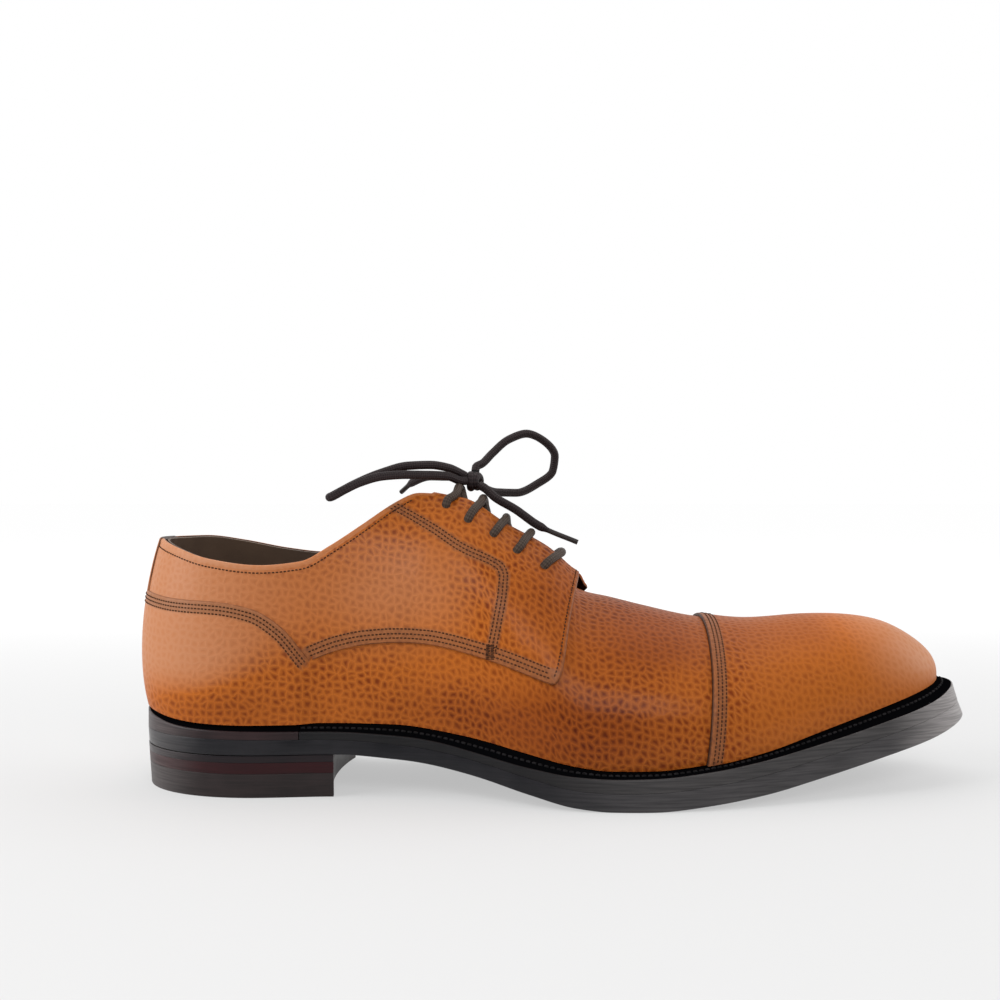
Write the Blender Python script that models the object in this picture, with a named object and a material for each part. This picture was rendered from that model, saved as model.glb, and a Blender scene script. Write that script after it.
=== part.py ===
# Cap toe shoe with open lacing, a right shoe, as separate solids on one last.
# All sizes are millimetres along the shoe: x from the back of the sole to the toe,
# y from the sole's axis to the inner side, z up from the floor. The meshes are in metres.

from collections import namedtuple

import bmesh
import bpy
import numpy as np

MM = 0.001
OUTER = -1
INNER = 1

# Overall sizes
SOLE_LENGTH = 308.0
SOLE_BACK_X = 1.0
TOE_SWING = 6.5
SWING_START = 100.0
FIT_GAP = 0.3

# Half of the jump, in q and in w, where a step of the wall lies
JUMP = 0.0012

# Where the heel's round end and the toe's round end begin, and how full they are
HEEL_ROUND_X = 45.0
HEEL_ROUND = 2.05
FAN_X = 34.0
TOE_START_X = 238.0
TOE_ROUND = 2.35
TOE_TOP_ROUND = 2.85

# Upper
WALL = 1.6
QUARTER_THICK = 1.2
CAP_THICK = 1.2
FOXING_STEP = 2.2
FOXING_FADE = (54.0, 69.0)
V_POINT_X = 66.0
STRAP_HALF = 9.5
UPPER_HEEL_X = 3.2
UPPER_TOE_X = 296.6
THROAT_END_X = 158.0
THROAT_ROUND = 12.0
CORNER_ROUND = 0.012
QUARTER_FRONT_X = {OUTER: 158.5, INNER: 166.0}
QUARTER_END_X = 169.0
QUARTER_CORNER_X = 150.5
QUARTER_LIFT = 5.0
QUARTER_BOW = 0.34
QUARTER_CLEAR = 0.024
CAP_SEAM_X = 208.5
CAP_SEAM_SWEEP = 6.0
CAP_SEAM_BOW = -2.5

# Sole, welt and heel
WELT_END_X = 62.4
INSOLE_RIM = 6.0
INSOLE_INSET = 2.6
INSOLE_THICK = 2.0
EDGE_ROUND = 0.7
EDGE_JOIN = 0.25
EDGE_STEP = 0.8
EDGE_FLUSH_Q = (0.05, 0.25)
HEEL_EDGE = (0.5, 0.2)
SOLE_LEAN = 1.2
WELT_LEAN = 3.0
HEEL_INSET = (1.4, 0.4)
HEEL_TOP = 14.7
LAYER_ROUND = 0.35
BREAST_HOLLOW = 3.5

# Tongue
TONGUE_X = (107.0, 170.0)
TONGUE_HALF = (23.5, 20.0)
TONGUE_THICK = 2.0
TONGUE_GAP = 0.6

# Lace
LACE_RADIUS = 1.6
LACE_SIDES = 6
HOLE_RADIUS = 1.9
HOLE_X = (112.7, 120.7, 129.5, 137.7, 146.5)
HOLE_FROM_EDGE = (4.8, 8.5, 9.5, 11.2, 12.4)
STRAND_PAST_RIDGE = 4.0
STRAND_DIP = 3.2
KNOT = (122.8, 1.5, 111.1)
KNOT_SIZE = (3.6, 4.4, 3.9)
KNOT_CLEAR = 0.45
KNOT_LEAD = 2.0

# Heel layers from the floor up: name, bottom, top, breast at bottom and top
HeelLayer = namedtuple("HeelLayer", "name bottom top breast_bottom breast_top")
HEEL_LAYERS = [
    HeelLayer("heel_top_piece", 0.0, 8.3, 74.3, 74.3),
    HeelLayer("heel_lift_lower", 8.6, 12.2, 74.3, 74.3),
    HeelLayer("heel_lift_upper", 12.5, 14.7, 74.3, 74.3),
]

# Middle lines of the bow's loops and of the lace's ends
CordPoint = namedtuple("CordPoint", "x y z")
LOOP_INNER = [
    CordPoint(123.2, 4.2, 115.0), CordPoint(125.8, 7.0, 118.0), CordPoint(129.4, 9.8, 121.8),
    CordPoint(136.1, 13.0, 127.6), CordPoint(143.1, 16.0, 130.0), CordPoint(149.8, 19.6, 127.4),
    CordPoint(154.4, 22.6, 121.4), CordPoint(153.6, 23.4, 115.6), CordPoint(148.0, 21.0, 110.8),
    CordPoint(138.9, 14.8, 106.8), CordPoint(131.0, 8.4, 107.0), CordPoint(126.2, 4.4, 108.7)]
LOOP_OUTER = [
    CordPoint(118.2, -1.0, 114.0), CordPoint(113.4, -4.4, 116.0), CordPoint(107.0, -7.6, 117.0),
    CordPoint(98.8, -11.0, 116.6), CordPoint(89.0, -14.6, 113.8), CordPoint(80.8, -17.6, 110.2),
    CordPoint(74.6, -19.4, 106.8), CordPoint(71.6, -22.2, 105.0), CordPoint(72.8, -25.6, 105.2),
    CordPoint(77.0, -26.4, 107.4), CordPoint(83.0, -24.0, 110.4), CordPoint(90.5, -19.8, 112.6),
    CordPoint(99.0, -15.6, 113.2), CordPoint(106.5, -11.4, 113.2), CordPoint(113.0, -7.4, 112.9),
    CordPoint(118.4, -3.4, 111.2)]
END_OUTER = [
    CordPoint(125.6, -2.6, 109.2), CordPoint(131.0, -5.6, 104.8), CordPoint(138.2, -6.6, 100.6),
    CordPoint(147.1, -7.2, 94.4), CordPoint(161.4, -8.0, 88.3)]
END_INNER = [
    CordPoint(118.6, 4.4, 112.8), CordPoint(112.0, 9.4, 113.0), CordPoint(105.5, 14.4, 113.2),
    CordPoint(98.5, 20.4, 111.2), CordPoint(93.0, 26.4, 107.2)]

# Half widths of the sole's edge either side of its axis
Plan = namedtuple("Plan", "x outer inner")
PLAN = [
    Plan(0, 34.5, 34.5),
    Plan(45, 34.5, 34.5),
    Plan(75, 32.5, 31.0),
    Plan(100, 32.8, 28.2),
    Plan(120, 37.6, 31.0),
    Plan(140, 45.6, 38.7),
    Plan(160, 51.8, 46.0),
    Plan(180, 53.5, 49.5),
    Plan(200, 51.8, 49.3),
    Plan(220, 47.3, 46.3),
    Plan(240, 41.2, 41.6),
    Plan(270, 34.4, 34.8),
    Plan(308, 30.5, 30.5),
]

# Heights along the sole: underside, top of the outsole, outer rim of the welt, foot of the upper
Side = namedtuple("Side", "x under sole_top rim foot")
SIDE = [
    Side(0, 15.0, 20.5, 28.4, 30.0),
    Side(8, 15.0, 20.5, 26.0, 28.5),
    Side(18, 15.0, 20.4, 24.2, 26.7),
    Side(28, 15.0, 20.3, 23.6, 25.8),
    Side(40, 15.0, 20.2, 23.3, 25.4),
    Side(76, 14.9, 19.8, 22.8, 25.2),
    Side(95, 13.4, 18.3, 21.6, 24.7),
    Side(110, 11.5, 16.5, 19.8, 23.0),
    Side(127, 8.2, 13.3, 16.3, 20.2),
    Side(143, 4.2, 9.6, 13.2, 16.7),
    Side(158, 1.0, 6.7, 11.3, 13.6),
    Side(170, 0.0, 5.9, 10.8, 12.3),
    Side(184, 0.0, 6.1, 11.0, 12.3),
    Side(206, 1.7, 8.0, 12.9, 14.3),
    Side(226, 4.2, 10.8, 15.8, 17.9),
    Side(248, 8.6, 15.4, 20.3, 24.0),
    Side(270, 13.4, 20.3, 25.4, 29.8),
    Side(290, 18.0, 25.0, 30.4, 35.2),
    Side(308, 23.4, 29.6, 37.4, 40.4),
]

# How far the foot of the upper stands inside the sole's edge
Inset = namedtuple("Inset", "x foot")
INSET = [
    Inset(0, 2.6),
    Inset(45, 3.0),
    Inset(100, 3.6),
    Inset(140, 5.0),
    Inset(200, 5.6),
    Inset(308, 6.5),
]

# Sections of the upper: ridge height and place, side bulge, rise and crown of its curve
Section = namedtuple("Section", "x ridge middle bulge rise crown")
SECTIONS = [
    Section(0, 121.0, 0.0, 8.0, 0.30, 0.82),
    Section(34, 118.0, 0.0, 5.5, 0.42, 0.84),
    Section(60, 116.0, 0.0, 4.0, 0.46, 0.86),
    Section(80, 113.5, 0.5, 3.5, 0.48, 0.82),
    Section(95, 111.0, 1.0, 4.0, 0.48, 0.78),
    Section(108, 109.2, 1.5, 4.2, 0.47, 0.72),
    Section(120, 106.2, 2.0, 4.4, 0.46, 0.66),
    Section(135, 94.9, 2.5, 4.6, 0.45, 0.60),
    Section(147, 84.9, 3.0, 4.8, 0.45, 0.57),
    Section(156, 74.8, 3.0, 5.0, 0.46, 0.56),
    Section(164, 69.5, 3.0, 5.0, 0.48, 0.57),
    Section(174, 67.2, 3.0, 5.0, 0.50, 0.57),
    Section(188, 63.7, 3.0, 5.0, 0.52, 0.58),
    Section(206, 59.8, 3.0, 4.6, 0.54, 0.60),
    Section(227, 57.6, 2.5, 4.0, 0.56, 0.62),
    Section(250, 59.2, 2.0, 3.4, 0.58, 0.64),
    Section(275, 60.4, 1.0, 3.0, 0.60, 0.66),
    Section(300, 55.0, 0.0, 3.0, 0.60, 0.66),
]

# Height of the collar's edge on both sides
Collar = namedtuple("Collar", "x outer inner")
COLLAR = [
    Collar(3.2, 89.9, 89.9),
    Collar(14, 87.0, 90.0),
    Collar(30, 83.0, 88.0),
    Collar(48, 80.9, 84.6),
    Collar(62, 82.2, 83.2),
    Collar(72, 87.6, 88.5),
    Collar(83, 94.9, 95.8),
    Collar(94, 102.4, 102.8),
    Collar(103, 107.0, 107.2),
    Collar(125, 116.0, 116.0),
]

# Half width of the open throat
Throat = namedtuple("Throat", "x half")
THROAT = [
    Throat(100, 11.5),
    Throat(120, 9.5),
    Throat(160, 8.0),
]

# Seam between foxing or vamp below and quarter above, then a line carried on to the toe
Seam = namedtuple("Seam", "x height")
SEAM = [
    Seam(3.2, 71.0),
    Seam(18, 69.0),
    Seam(34, 68.2),
    Seam(46, 65.8),
    Seam(56, 59.6),
    Seam(66, 47.6),
    Seam(76, 51.3),
    Seam(86, 53.2),
    Seam(96, 53.8),
    Seam(106, 53.3),
    Seam(126, 49.1),
    Seam(150, 40.8),
]


def smooth_curve(rows, name):
    """Monotone cubic curve through one named column of a table."""
    xs = np.array([row.x for row in rows], float)
    ys = np.array([getattr(row, name) for row in rows], float)
    step = np.diff(xs)
    slope = np.diff(ys) / step
    tangent = np.concatenate([slope[:1], np.zeros(len(xs) - 2), slope[-1:]])
    for i in range(1, len(xs) - 1):
        if slope[i - 1] * slope[i] > 0:
            before = 2 * step[i] + step[i - 1]
            after = step[i] + 2 * step[i - 1]
            tangent[i] = (before + after) / (before / slope[i - 1] + after / slope[i])

    def value(x):
        x = np.clip(np.asarray(x, float), xs[0], xs[-1])
        i = np.clip(np.searchsorted(xs, x) - 1, 0, len(xs) - 2)
        t = (x - xs[i]) / step[i]
        start = (2 * t**3 - 3 * t**2 + 1) * ys[i] + (t**3 - 2 * t**2 + t) * step[i] * tangent[i]
        end = (3 * t**2 - 2 * t**3) * ys[i + 1] + (t**3 - t**2) * step[i] * tangent[i + 1]
        return start + end

    return value


half_width = {OUTER: smooth_curve(PLAN, "outer"), INNER: smooth_curve(PLAN, "inner")}
underside = smooth_curve(SIDE, "under")
sole_top = smooth_curve(SIDE, "sole_top")
welt_rim = smooth_curve(SIDE, "rim")
foot_height = smooth_curve(SIDE, "foot")
foot_inset = smooth_curve(INSET, "foot")
ridge_height = smooth_curve(SECTIONS, "ridge")
ridge_middle = smooth_curve(SECTIONS, "middle")
side_bulge = smooth_curve(SECTIONS, "bulge")
side_rise = smooth_curve(SECTIONS, "rise")
top_crown = smooth_curve(SECTIONS, "crown")
collar_height = {OUTER: smooth_curve(COLLAR, "outer"), INNER: smooth_curve(COLLAR, "inner")}
throat_half = smooth_curve(THROAT, "half")
seam_back = smooth_curve([row for row in SEAM if row.x <= V_POINT_X], "height")
seam_front = smooth_curve([row for row in SEAM if row.x >= V_POINT_X], "height")


def seam_height(x):
    """The seam falls to a point, then rises again."""
    return np.where(x < V_POINT_X, seam_back(x), seam_front(x))


def smoothstep(low, high, x):
    t = np.clip((np.asarray(x, float) - low) / (high - low), 0, 1)
    return t * t * (3 - 2 * t)


def axis_y(x):
    """The sole's axis swings to the inner side towards the toe."""
    return TOE_SWING * np.clip((np.asarray(x, float) - SWING_START) / (SOLE_LENGTH - SWING_START), 0, 1) ** 2


def end_fullness(x, heel_x, toe_x, toe_round):
    """1 along the middle of the shoe, falling to 0 at the heel's back and the toe's tip."""
    heel = np.clip((HEEL_ROUND_X - x) / (HEEL_ROUND_X - heel_x), 0, 1)
    toe = np.clip((x - TOE_START_X) / (toe_x - TOE_START_X), 0, 1)
    return (1 - heel**HEEL_ROUND) ** (1 / HEEL_ROUND) * (1 - toe**toe_round) ** (1 / toe_round)


def station(q, heel_x, toe_x):
    """x for q from 0 at the heel's back to 1 at the toe's tip, closer together at both round ends."""
    q = np.asarray(q, float)
    heel = heel_x + (FAN_X - heel_x) * (1 - np.cos(np.clip(q / 0.25, 0, 1) * np.pi / 2))
    middle = (TOE_START_X - FAN_X) * np.clip((q - 0.25) / 0.5, 0, 1)
    toe = (toe_x - TOE_START_X) * np.sin(np.clip((q - 0.75) / 0.25, 0, 1) * np.pi / 2)
    return heel + middle + toe


def q_at(x, heel_x=UPPER_HEEL_X, toe_x=UPPER_TOE_X):
    """The inverse of station."""
    x = np.asarray(x, float)
    heel = np.arccos(np.clip(1 - (x - heel_x) / (FAN_X - heel_x), 0, 1)) / (np.pi / 2) * 0.25
    middle = 0.5 * np.clip((x - FAN_X) / (TOE_START_X - FAN_X), 0, 1)
    toe = np.arcsin(np.clip((x - TOE_START_X) / (toe_x - TOE_START_X), 0, 1)) / (np.pi / 2) * 0.25
    return np.where(x < FAN_X, heel, 0.25 + middle + toe)


def sole_edge(q, side, inset, lean=0.0):
    """x and y along the sole's edge, drawn in by inset, and by lean more at the toe."""
    toe_x = SOLE_LENGTH - inset - lean
    heel_x = SOLE_BACK_X + inset
    x = station(q, heel_x, toe_x)
    full = end_fullness(x, heel_x, toe_x, TOE_ROUND)
    return x, axis_y(x) + side * (half_width[side](x) - inset) * full


def foot_edge(q, side, inset, lean=0.0):
    """x and y along the foot of the upper, drawn in by inset."""
    toe_x = UPPER_TOE_X - inset - lean
    x = station(q, UPPER_HEEL_X + inset, toe_x)
    full = end_fullness(x, UPPER_HEEL_X + inset, toe_x, TOE_ROUND)
    return x, axis_y(x) + side * (half_width[side](x) - foot_inset(x) - inset) * full


def upper_point(q, side, w):
    """A point of the last's surface. q runs from heel to toe, w from the foot up to the ridge."""
    q, w = np.broadcast_arrays(np.asarray(q, float), np.asarray(w, float))
    x = station(q, UPPER_HEEL_X, UPPER_TOE_X)
    full = end_fullness(x, UPPER_HEEL_X, UPPER_TOE_X, TOE_ROUND)
    top_full = end_fullness(np.maximum(x, HEEL_ROUND_X), UPPER_HEEL_X, UPPER_TOE_X, TOE_TOP_ROUND)
    foot_y = axis_y(x) + side * (half_width[side](x) - foot_inset(x)) * full
    centre_x = np.maximum(x, FAN_X)
    centre_y = axis_y(x) + ridge_middle(x) * top_full
    reach_x = x - centre_x
    reach_y = foot_y - centre_y
    reach = np.maximum(np.hypot(reach_x, reach_y), 1e-6)
    foot = foot_height(x) + FIT_GAP
    top = foot + (ridge_height(x) - foot) * top_full
    b0 = (1 - w) ** 3
    b1 = 3 * w * (1 - w) ** 2
    b2 = 3 * w**2 * (1 - w)
    b3 = w**3
    out = b0 * reach + b1 * (reach + side_bulge(x) * top_full) + b2 * top_crown(x) * reach
    z = b0 * foot + b1 * (foot + side_rise(x) * (top - foot)) + (b2 + b3) * top
    return np.stack([centre_x + reach_x / reach * out, centre_y + reach_y / reach * out, z], -1)


def upper_normal(q, side, w):
    """The outward direction of the last's surface."""
    q, w = np.broadcast_arrays(np.asarray(q, float), np.asarray(w, float))
    q = np.clip(q, 0.0005, 0.9985)
    w = np.clip(w, 0.001, 0.999)
    along = upper_point(q + 0.0004, side, w) - upper_point(q - 0.0004, side, w)
    upward = upper_point(q, side, w + 0.001) - upper_point(q, side, w - 0.001)
    normal = np.cross(upward, along) * side
    return normal / np.maximum(np.linalg.norm(normal, axis=-1, keepdims=True), 1e-12)


def in_mid_plane(direction):
    """Turns a direction of travel in the plane of the shoe's length into the normal on its left."""
    normal = np.stack([-direction[..., 2], np.zeros(direction.shape[:-1]), direction[..., 0]], -1)
    return normal / np.maximum(np.linalg.norm(normal, axis=-1, keepdims=True), 1e-12)


def lifted(q, side, w, lift):
    """A point of the last's surface moved outward by lift, the same from both sides where they meet."""
    q, w, lift = np.broadcast_arrays(np.asarray(q, float), np.asarray(w, float), np.asarray(lift, float))
    normal = upper_normal(q, side, w)
    inside = np.clip(q, 0.0005, 0.9985)
    ridge = in_mid_plane(upper_point(inside + 0.0004, side, 1.0) - upper_point(inside - 0.0004, side, 1.0))
    rising = np.clip(w, 0.001, 0.999)
    back = in_mid_plane(upper_point(0.0, side, rising + 0.001) - upper_point(0.0, side, rising - 0.001))
    normal = np.where((w > 0.99999)[..., None], ridge, normal)
    normal = np.where((q < 0.00001)[..., None], back, normal)
    normal = np.where((q > 0.99999)[..., None], np.array([1.0, 0.0, 0.0]), normal)
    return upper_point(q, side, w) + normal * lift[..., None]


def w_where(q, side, reached, low=0.0):
    """The w at which reached(points, ridge points) first holds on each column."""
    q = np.asarray(q, float)
    low = np.full(q.shape, low)
    high = np.ones(q.shape)
    ridge = upper_point(q, side, 1.0)
    for _ in range(32):
        middle = (low + high) / 2
        done = reached(upper_point(q, side, middle), ridge)
        low = np.where(done, low, middle)
        high = np.where(done, middle, high)
    return high


def edge_w(q, side, throat_x, round_end):
    """w of the edge of the opening: the collar, then the throat, then the ridge."""
    x = station(q, UPPER_HEEL_X, UPPER_TOE_X)
    collar = w_where(q, side, lambda p, ridge: p[..., 2] > collar_height[side](x))
    tail = np.clip((x - throat_x + round_end) / max(round_end, 0.01), 0, 1)
    half = throat_half(x) * np.sqrt(1 - tail**2) if round_end else throat_half(x)
    throat = w_where(q, side, lambda p, ridge: np.abs(p[..., 1] - ridge[..., 1]) < half, 0.3)
    both = -np.log(np.exp(-collar / CORNER_ROUND) + np.exp(-throat / CORNER_ROUND)) * CORNER_ROUND
    edge = np.where(x < 90, collar, np.where(x > 128, throat, both))
    return np.where(x >= throat_x, 1.0, edge)


def seam_w(q, side):
    """w of the seam between foxing and quarter, carried on towards the toe."""
    x = station(q, UPPER_HEEL_X, UPPER_TOE_X)
    seam = w_where(q, side, lambda p, ridge: p[..., 2] > seam_height(x))
    return seam + (0.40 - seam) * smoothstep(150, 200, x)


class Solid:
    """Collects faces of a closed mesh and joins corners that coincide."""

    def __init__(self):
        self.corners = []
        self.index = {}
        self.faces = []

    def corner(self, point):
        key = tuple(np.round(np.asarray(point, float), 4))
        if key not in self.index:
            self.index[key] = len(self.corners)
            self.corners.append(key)
        return self.index[key]

    def face(self, points):
        loop = [self.corner(p) for p in points]
        loop = [c for i, c in enumerate(loop) if c != loop[i - 1]]
        if len(loop) > 2:
            self.faces.append(loop)

    def grid(self, points, flip=False):
        """Quads between neighbouring rows and columns of a grid of points."""
        for i in range(points.shape[0] - 1):
            for j in range(points.shape[1] - 1):
                quad = [points[i, j], points[i + 1, j], points[i + 1, j + 1], points[i, j + 1]]
                self.face(quad[::-1] if flip else quad)

    def band(self, first, second, flip=False):
        self.grid(np.stack([first, second], 1), flip)


centre_shift = np.zeros(3)


def clear_scene():
    for item in list(bpy.data.objects):
        bpy.data.objects.remove(item, do_unlink=True)


def new_collection(name):
    collection = bpy.data.collections.new(name)
    bpy.context.scene.collection.children.link(collection)
    return collection


def new_material(name, color, roughness):
    material = bpy.data.materials.new(name)
    material.use_nodes = True
    shader = material.node_tree.nodes["Principled BSDF"]
    shader.inputs["Base Color"].default_value = (*color, 1.0)
    shader.inputs["Roughness"].default_value = roughness
    return material


def add_object(name, solid, material, collection):
    """Makes the mesh in metres, with its faces turned outward."""
    mesh = bpy.data.meshes.new(name)
    corners = (np.array(solid.corners) - centre_shift) * MM
    mesh.from_pydata([tuple(c) for c in corners], [], solid.faces)
    builder = bmesh.new()
    builder.from_mesh(mesh)
    bmesh.ops.recalc_face_normals(builder, faces=builder.faces)
    builder.to_mesh(mesh)
    builder.free()
    item = bpy.data.objects.new(name, mesh)
    collection.objects.link(item)
    if material:
        mesh.materials.append(material)
    return item


def stacked(rings):
    """A plate from rings of edge points, bottom to top, closed by strips from side to side."""
    solid = Solid()
    for lower, upper in zip(rings, rings[1:]):
        for side in (OUTER, INNER):
            solid.band(lower[side], upper[side])
    for ring in (rings[0], rings[-1]):
        solid.band(ring[OUTER], ring[INNER])
    return solid


def edge_ring(edge, q, inset, height, lean=0.0):
    """Both sides of an edge line at this inset, at height(x)."""
    ring = {}
    for side in (OUTER, INNER):
        x, y = edge(q, side, inset, lean)
        ring[side] = np.stack([x, y, height(x)], -1)
    return ring


def round_the_foot(ring, heel_first):
    """One line round the shoe from a ring: by way of the toe, or by way of the heel's back."""
    if heel_first:
        return np.concatenate([ring[OUTER][::-1], ring[INNER][1:]])
    return np.concatenate([ring[OUTER], ring[INNER][::-1][1:]])


def strip(rings, heel_first):
    """A closed strip swept round the shoe through the same corners at each station."""
    lines = [round_the_foot(ring, heel_first) for ring in rings]
    solid = Solid()
    for first, second in zip(lines, lines[1:] + lines[:1]):
        solid.band(first, second)
    solid.face([line[0] for line in lines])
    solid.face([line[-1] for line in lines])
    return solid


def above(height, amount):
    return lambda x: height(x) + amount


def sole_inset(q):
    """The outsole's side draws in round the heel."""
    return HEEL_EDGE[0] * (1 - smoothstep(*EDGE_FLUSH_Q, q))


def step_inset(q):
    """The strip above the outsole steps in, but is nearly flush round the heel."""
    return HEEL_EDGE[1] + (EDGE_STEP - HEEL_EDGE[1]) * smoothstep(*EDGE_FLUSH_Q, q)


def make_outsole():
    q = np.concatenate([np.linspace(0, 0.25, 9), np.linspace(0.25, 0.75, 23)[1:], np.linspace(0.75, 1, 9)[1:]])
    rings = [
        edge_ring(sole_edge, q, sole_inset(q) + EDGE_ROUND, underside),
        edge_ring(sole_edge, q, sole_inset(q), above(underside, EDGE_ROUND)),
        edge_ring(sole_edge, q, step_inset(q), above(sole_top, -EDGE_JOIN), SOLE_LEAN),
        edge_ring(sole_edge, q, step_inset(q) + EDGE_JOIN, sole_top, SOLE_LEAN),
    ]
    return stacked(rings)


def welt_rings(q):
    """Corners of the welt's section: outer side, slope up to the foot of the upper, inner side."""
    return [
        edge_ring(sole_edge, q, step_inset(q) + EDGE_JOIN, above(sole_top, FIT_GAP), SOLE_LEAN),
        edge_ring(sole_edge, q, step_inset(q), above(sole_top, FIT_GAP + EDGE_JOIN), SOLE_LEAN),
        edge_ring(sole_edge, q, step_inset(q), above(welt_rim, -EDGE_ROUND), WELT_LEAN),
        edge_ring(sole_edge, q, step_inset(q) + EDGE_ROUND, welt_rim, WELT_LEAN),
        edge_ring(foot_edge, q, -0.4, foot_height),
        edge_ring(foot_edge, q, INSOLE_RIM, foot_height),
        edge_ring(foot_edge, q, INSOLE_RIM, above(sole_top, FIT_GAP)),
    ]


def make_welt():
    end = q_at(WELT_END_X)
    q = np.concatenate([np.linspace(end, 0.75, 21), np.linspace(0.75, 1, 9)[1:]])
    return strip(welt_rings(q), heel_first=False)


def make_heel_rand():
    end = q_at(WELT_END_X - FIT_GAP)
    q = np.concatenate([np.linspace(0, 0.25, 9), np.linspace(0.25, end, 4)[1:]])
    return strip(welt_rings(q), heel_first=True)


def make_insole():
    q = np.concatenate([np.linspace(0, 0.25, 8), np.linspace(0.25, 0.75, 19)[1:], np.linspace(0.75, 1, 7)[1:]])
    inner = INSOLE_RIM + FIT_GAP
    rings = [
        edge_ring(foot_edge, q, inner, above(sole_top, FIT_GAP)),
        edge_ring(foot_edge, q, inner, above(foot_height, FIT_GAP)),
        edge_ring(foot_edge, q, INSOLE_INSET, above(foot_height, FIT_GAP)),
        edge_ring(foot_edge, q, INSOLE_INSET, above(foot_height, FIT_GAP + INSOLE_THICK)),
    ]
    return stacked(rings)


def heel_inset(height):
    """The heel draws in a little towards the floor."""
    return float(np.interp(height, [0, HEEL_TOP], HEEL_INSET))


def heel_line(inset, breast_x, height):
    """The heel's outline at one height: round the back, then along the hollow breast."""
    line = []
    for side in (OUTER, INNER):
        q = np.concatenate([np.linspace(0, 0.25, 9), np.linspace(0.25, float(q_at(breast_x)), 4)[1:]])
        x, y = sole_edge(q, side, inset)
        line.append(np.stack([x, y, np.full(len(x), height)], -1))
    corner = line[1][-1][1]
    y = np.linspace(corner, line[0][-1][1], 9)[1:-1]
    x = breast_x - BREAST_HOLLOW * (1 - (y / corner) ** 2)
    breast = np.stack([x, y, np.full(len(y), height)], -1)
    return np.concatenate([line[0][::-1], line[1][1:], breast])


def make_heel_layer(bottom, top, breast_bottom, breast_top):
    """One layer of the heel, with its lower and upper edge broken."""
    lines = [
        heel_line(heel_inset(bottom) + LAYER_ROUND, breast_bottom - LAYER_ROUND, bottom),
        heel_line(heel_inset(bottom), breast_bottom, bottom + LAYER_ROUND),
        heel_line(heel_inset(top), breast_top, top - LAYER_ROUND),
        heel_line(heel_inset(top) + LAYER_ROUND, breast_top - LAYER_ROUND, top),
    ]
    solid = Solid()
    for lower, upper in zip(lines, lines[1:]):
        solid.band(np.concatenate([lower, lower[:1]]), np.concatenate([upper, upper[:1]]))
    solid.face(lines[0])
    solid.face(lines[-1])
    return solid


def strap_q():
    """q of the edge of the back strap."""
    return STRAP_HALF / (FAN_X - UPPER_HEEL_X) / (np.pi / 2) * 0.25


def foxing_lift(x):
    """The foxing stands proud of the quarters behind and runs into the vamp in front."""
    return FOXING_STEP * (1 - smoothstep(*FOXING_FADE, x))


def make_upper():
    strap = strap_q()
    heel = [0, strap / 2, strap - JUMP, strap + JUMP, 0.075, 0.105, 0.14, 0.175, 0.2125, 0.25]
    waist = np.linspace(0.25, 0.36, 8)[1:]
    q = np.concatenate([heel, waist, np.linspace(0.36, 0.75, 18)[1:], np.linspace(0.75, 1, 8)[1:]])
    low = np.array([0, 0.33, 0.67, 1 - JUMP * 2])
    high = np.array([JUMP * 2, 0.16, 0.32, 0.48, 0.62, 0.75, 0.88, 1])
    solid = Solid()
    for side in (OUTER, INNER):
        seam = seam_w(q, side)
        edge = edge_w(q, side, THROAT_END_X, THROAT_ROUND)
        x = station(q, UPPER_HEEL_X, UPPER_TOE_X)
        w = np.concatenate([seam[:, None] * low, seam[:, None] + (edge - seam)[:, None] * high], 1)
        proud = np.concatenate([np.ones((len(q), len(low))), np.zeros((len(q), len(high)))], 1)
        proud = np.where((q < strap)[:, None], 1.0, proud)
        outside = lifted(q[:, None], side, w, proud * foxing_lift(x)[:, None])
        inside = lifted(q[:, None], side, w, -WALL)
        solid.grid(outside)
        solid.grid(inside)
        solid.band(outside[:, 0], inside[:, 0])
        open_edge = edge < 1
        last = int(np.argmin(open_edge)) + 1
        solid.band(outside[:last, -1], inside[:last, -1])
    return solid


def quarter_lift(x, b):
    """The quarters' front corners stand off the vamp."""
    stand = smoothstep(126, 160, x) * (1 - 0.8 * smoothstep(160, 168, x))
    return QUARTER_LIFT * stand * smoothstep(0.22, 1, b)


def make_quarter(side):
    a = np.linspace(0, 1, 25)
    b = np.linspace(0, 1, 9)
    front_x = QUARTER_CORNER_X + (QUARTER_FRONT_X[side] - QUARTER_CORNER_X) * b**QUARTER_BOW
    start = strap_q() + JUMP + 0.0034
    q = start + (q_at(front_x)[None, :] - start) * a[:, None]
    low = seam_w(q, side)
    edge = edge_w(q, side, QUARTER_END_X, 0)
    x = station(q, UPPER_HEEL_X, UPPER_TOE_X)
    clear = QUARTER_CLEAR * (1.6 - 0.6 * smoothstep(60, 80, x))
    w = low + (edge - low) * (clear + (1 - clear) * b[None, :])
    lift = FIT_GAP * (1 + smoothstep(140, 156, x)) + quarter_lift(x, b[None, :])
    inside = lifted(q, side, w, lift)
    outside = lifted(q, side, w, lift + QUARTER_THICK)
    return shell(outside, inside)


def shell(outside, inside):
    """A closed sheet between two grids of the same shape."""
    solid = Solid()
    solid.grid(outside)
    solid.grid(inside)
    for line in (np.s_[0, :], np.s_[-1, :], np.s_[:, 0], np.s_[:, -1]):
        solid.band(outside[line], inside[line])
    return solid


def cap_seam_x(w):
    """The cap's seam runs straight across the ridge and sweeps back towards the foot."""
    return CAP_SEAM_X + CAP_SEAM_BOW * w * (1 - w) - CAP_SEAM_SWEEP * (1 - w) ** 2


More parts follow.
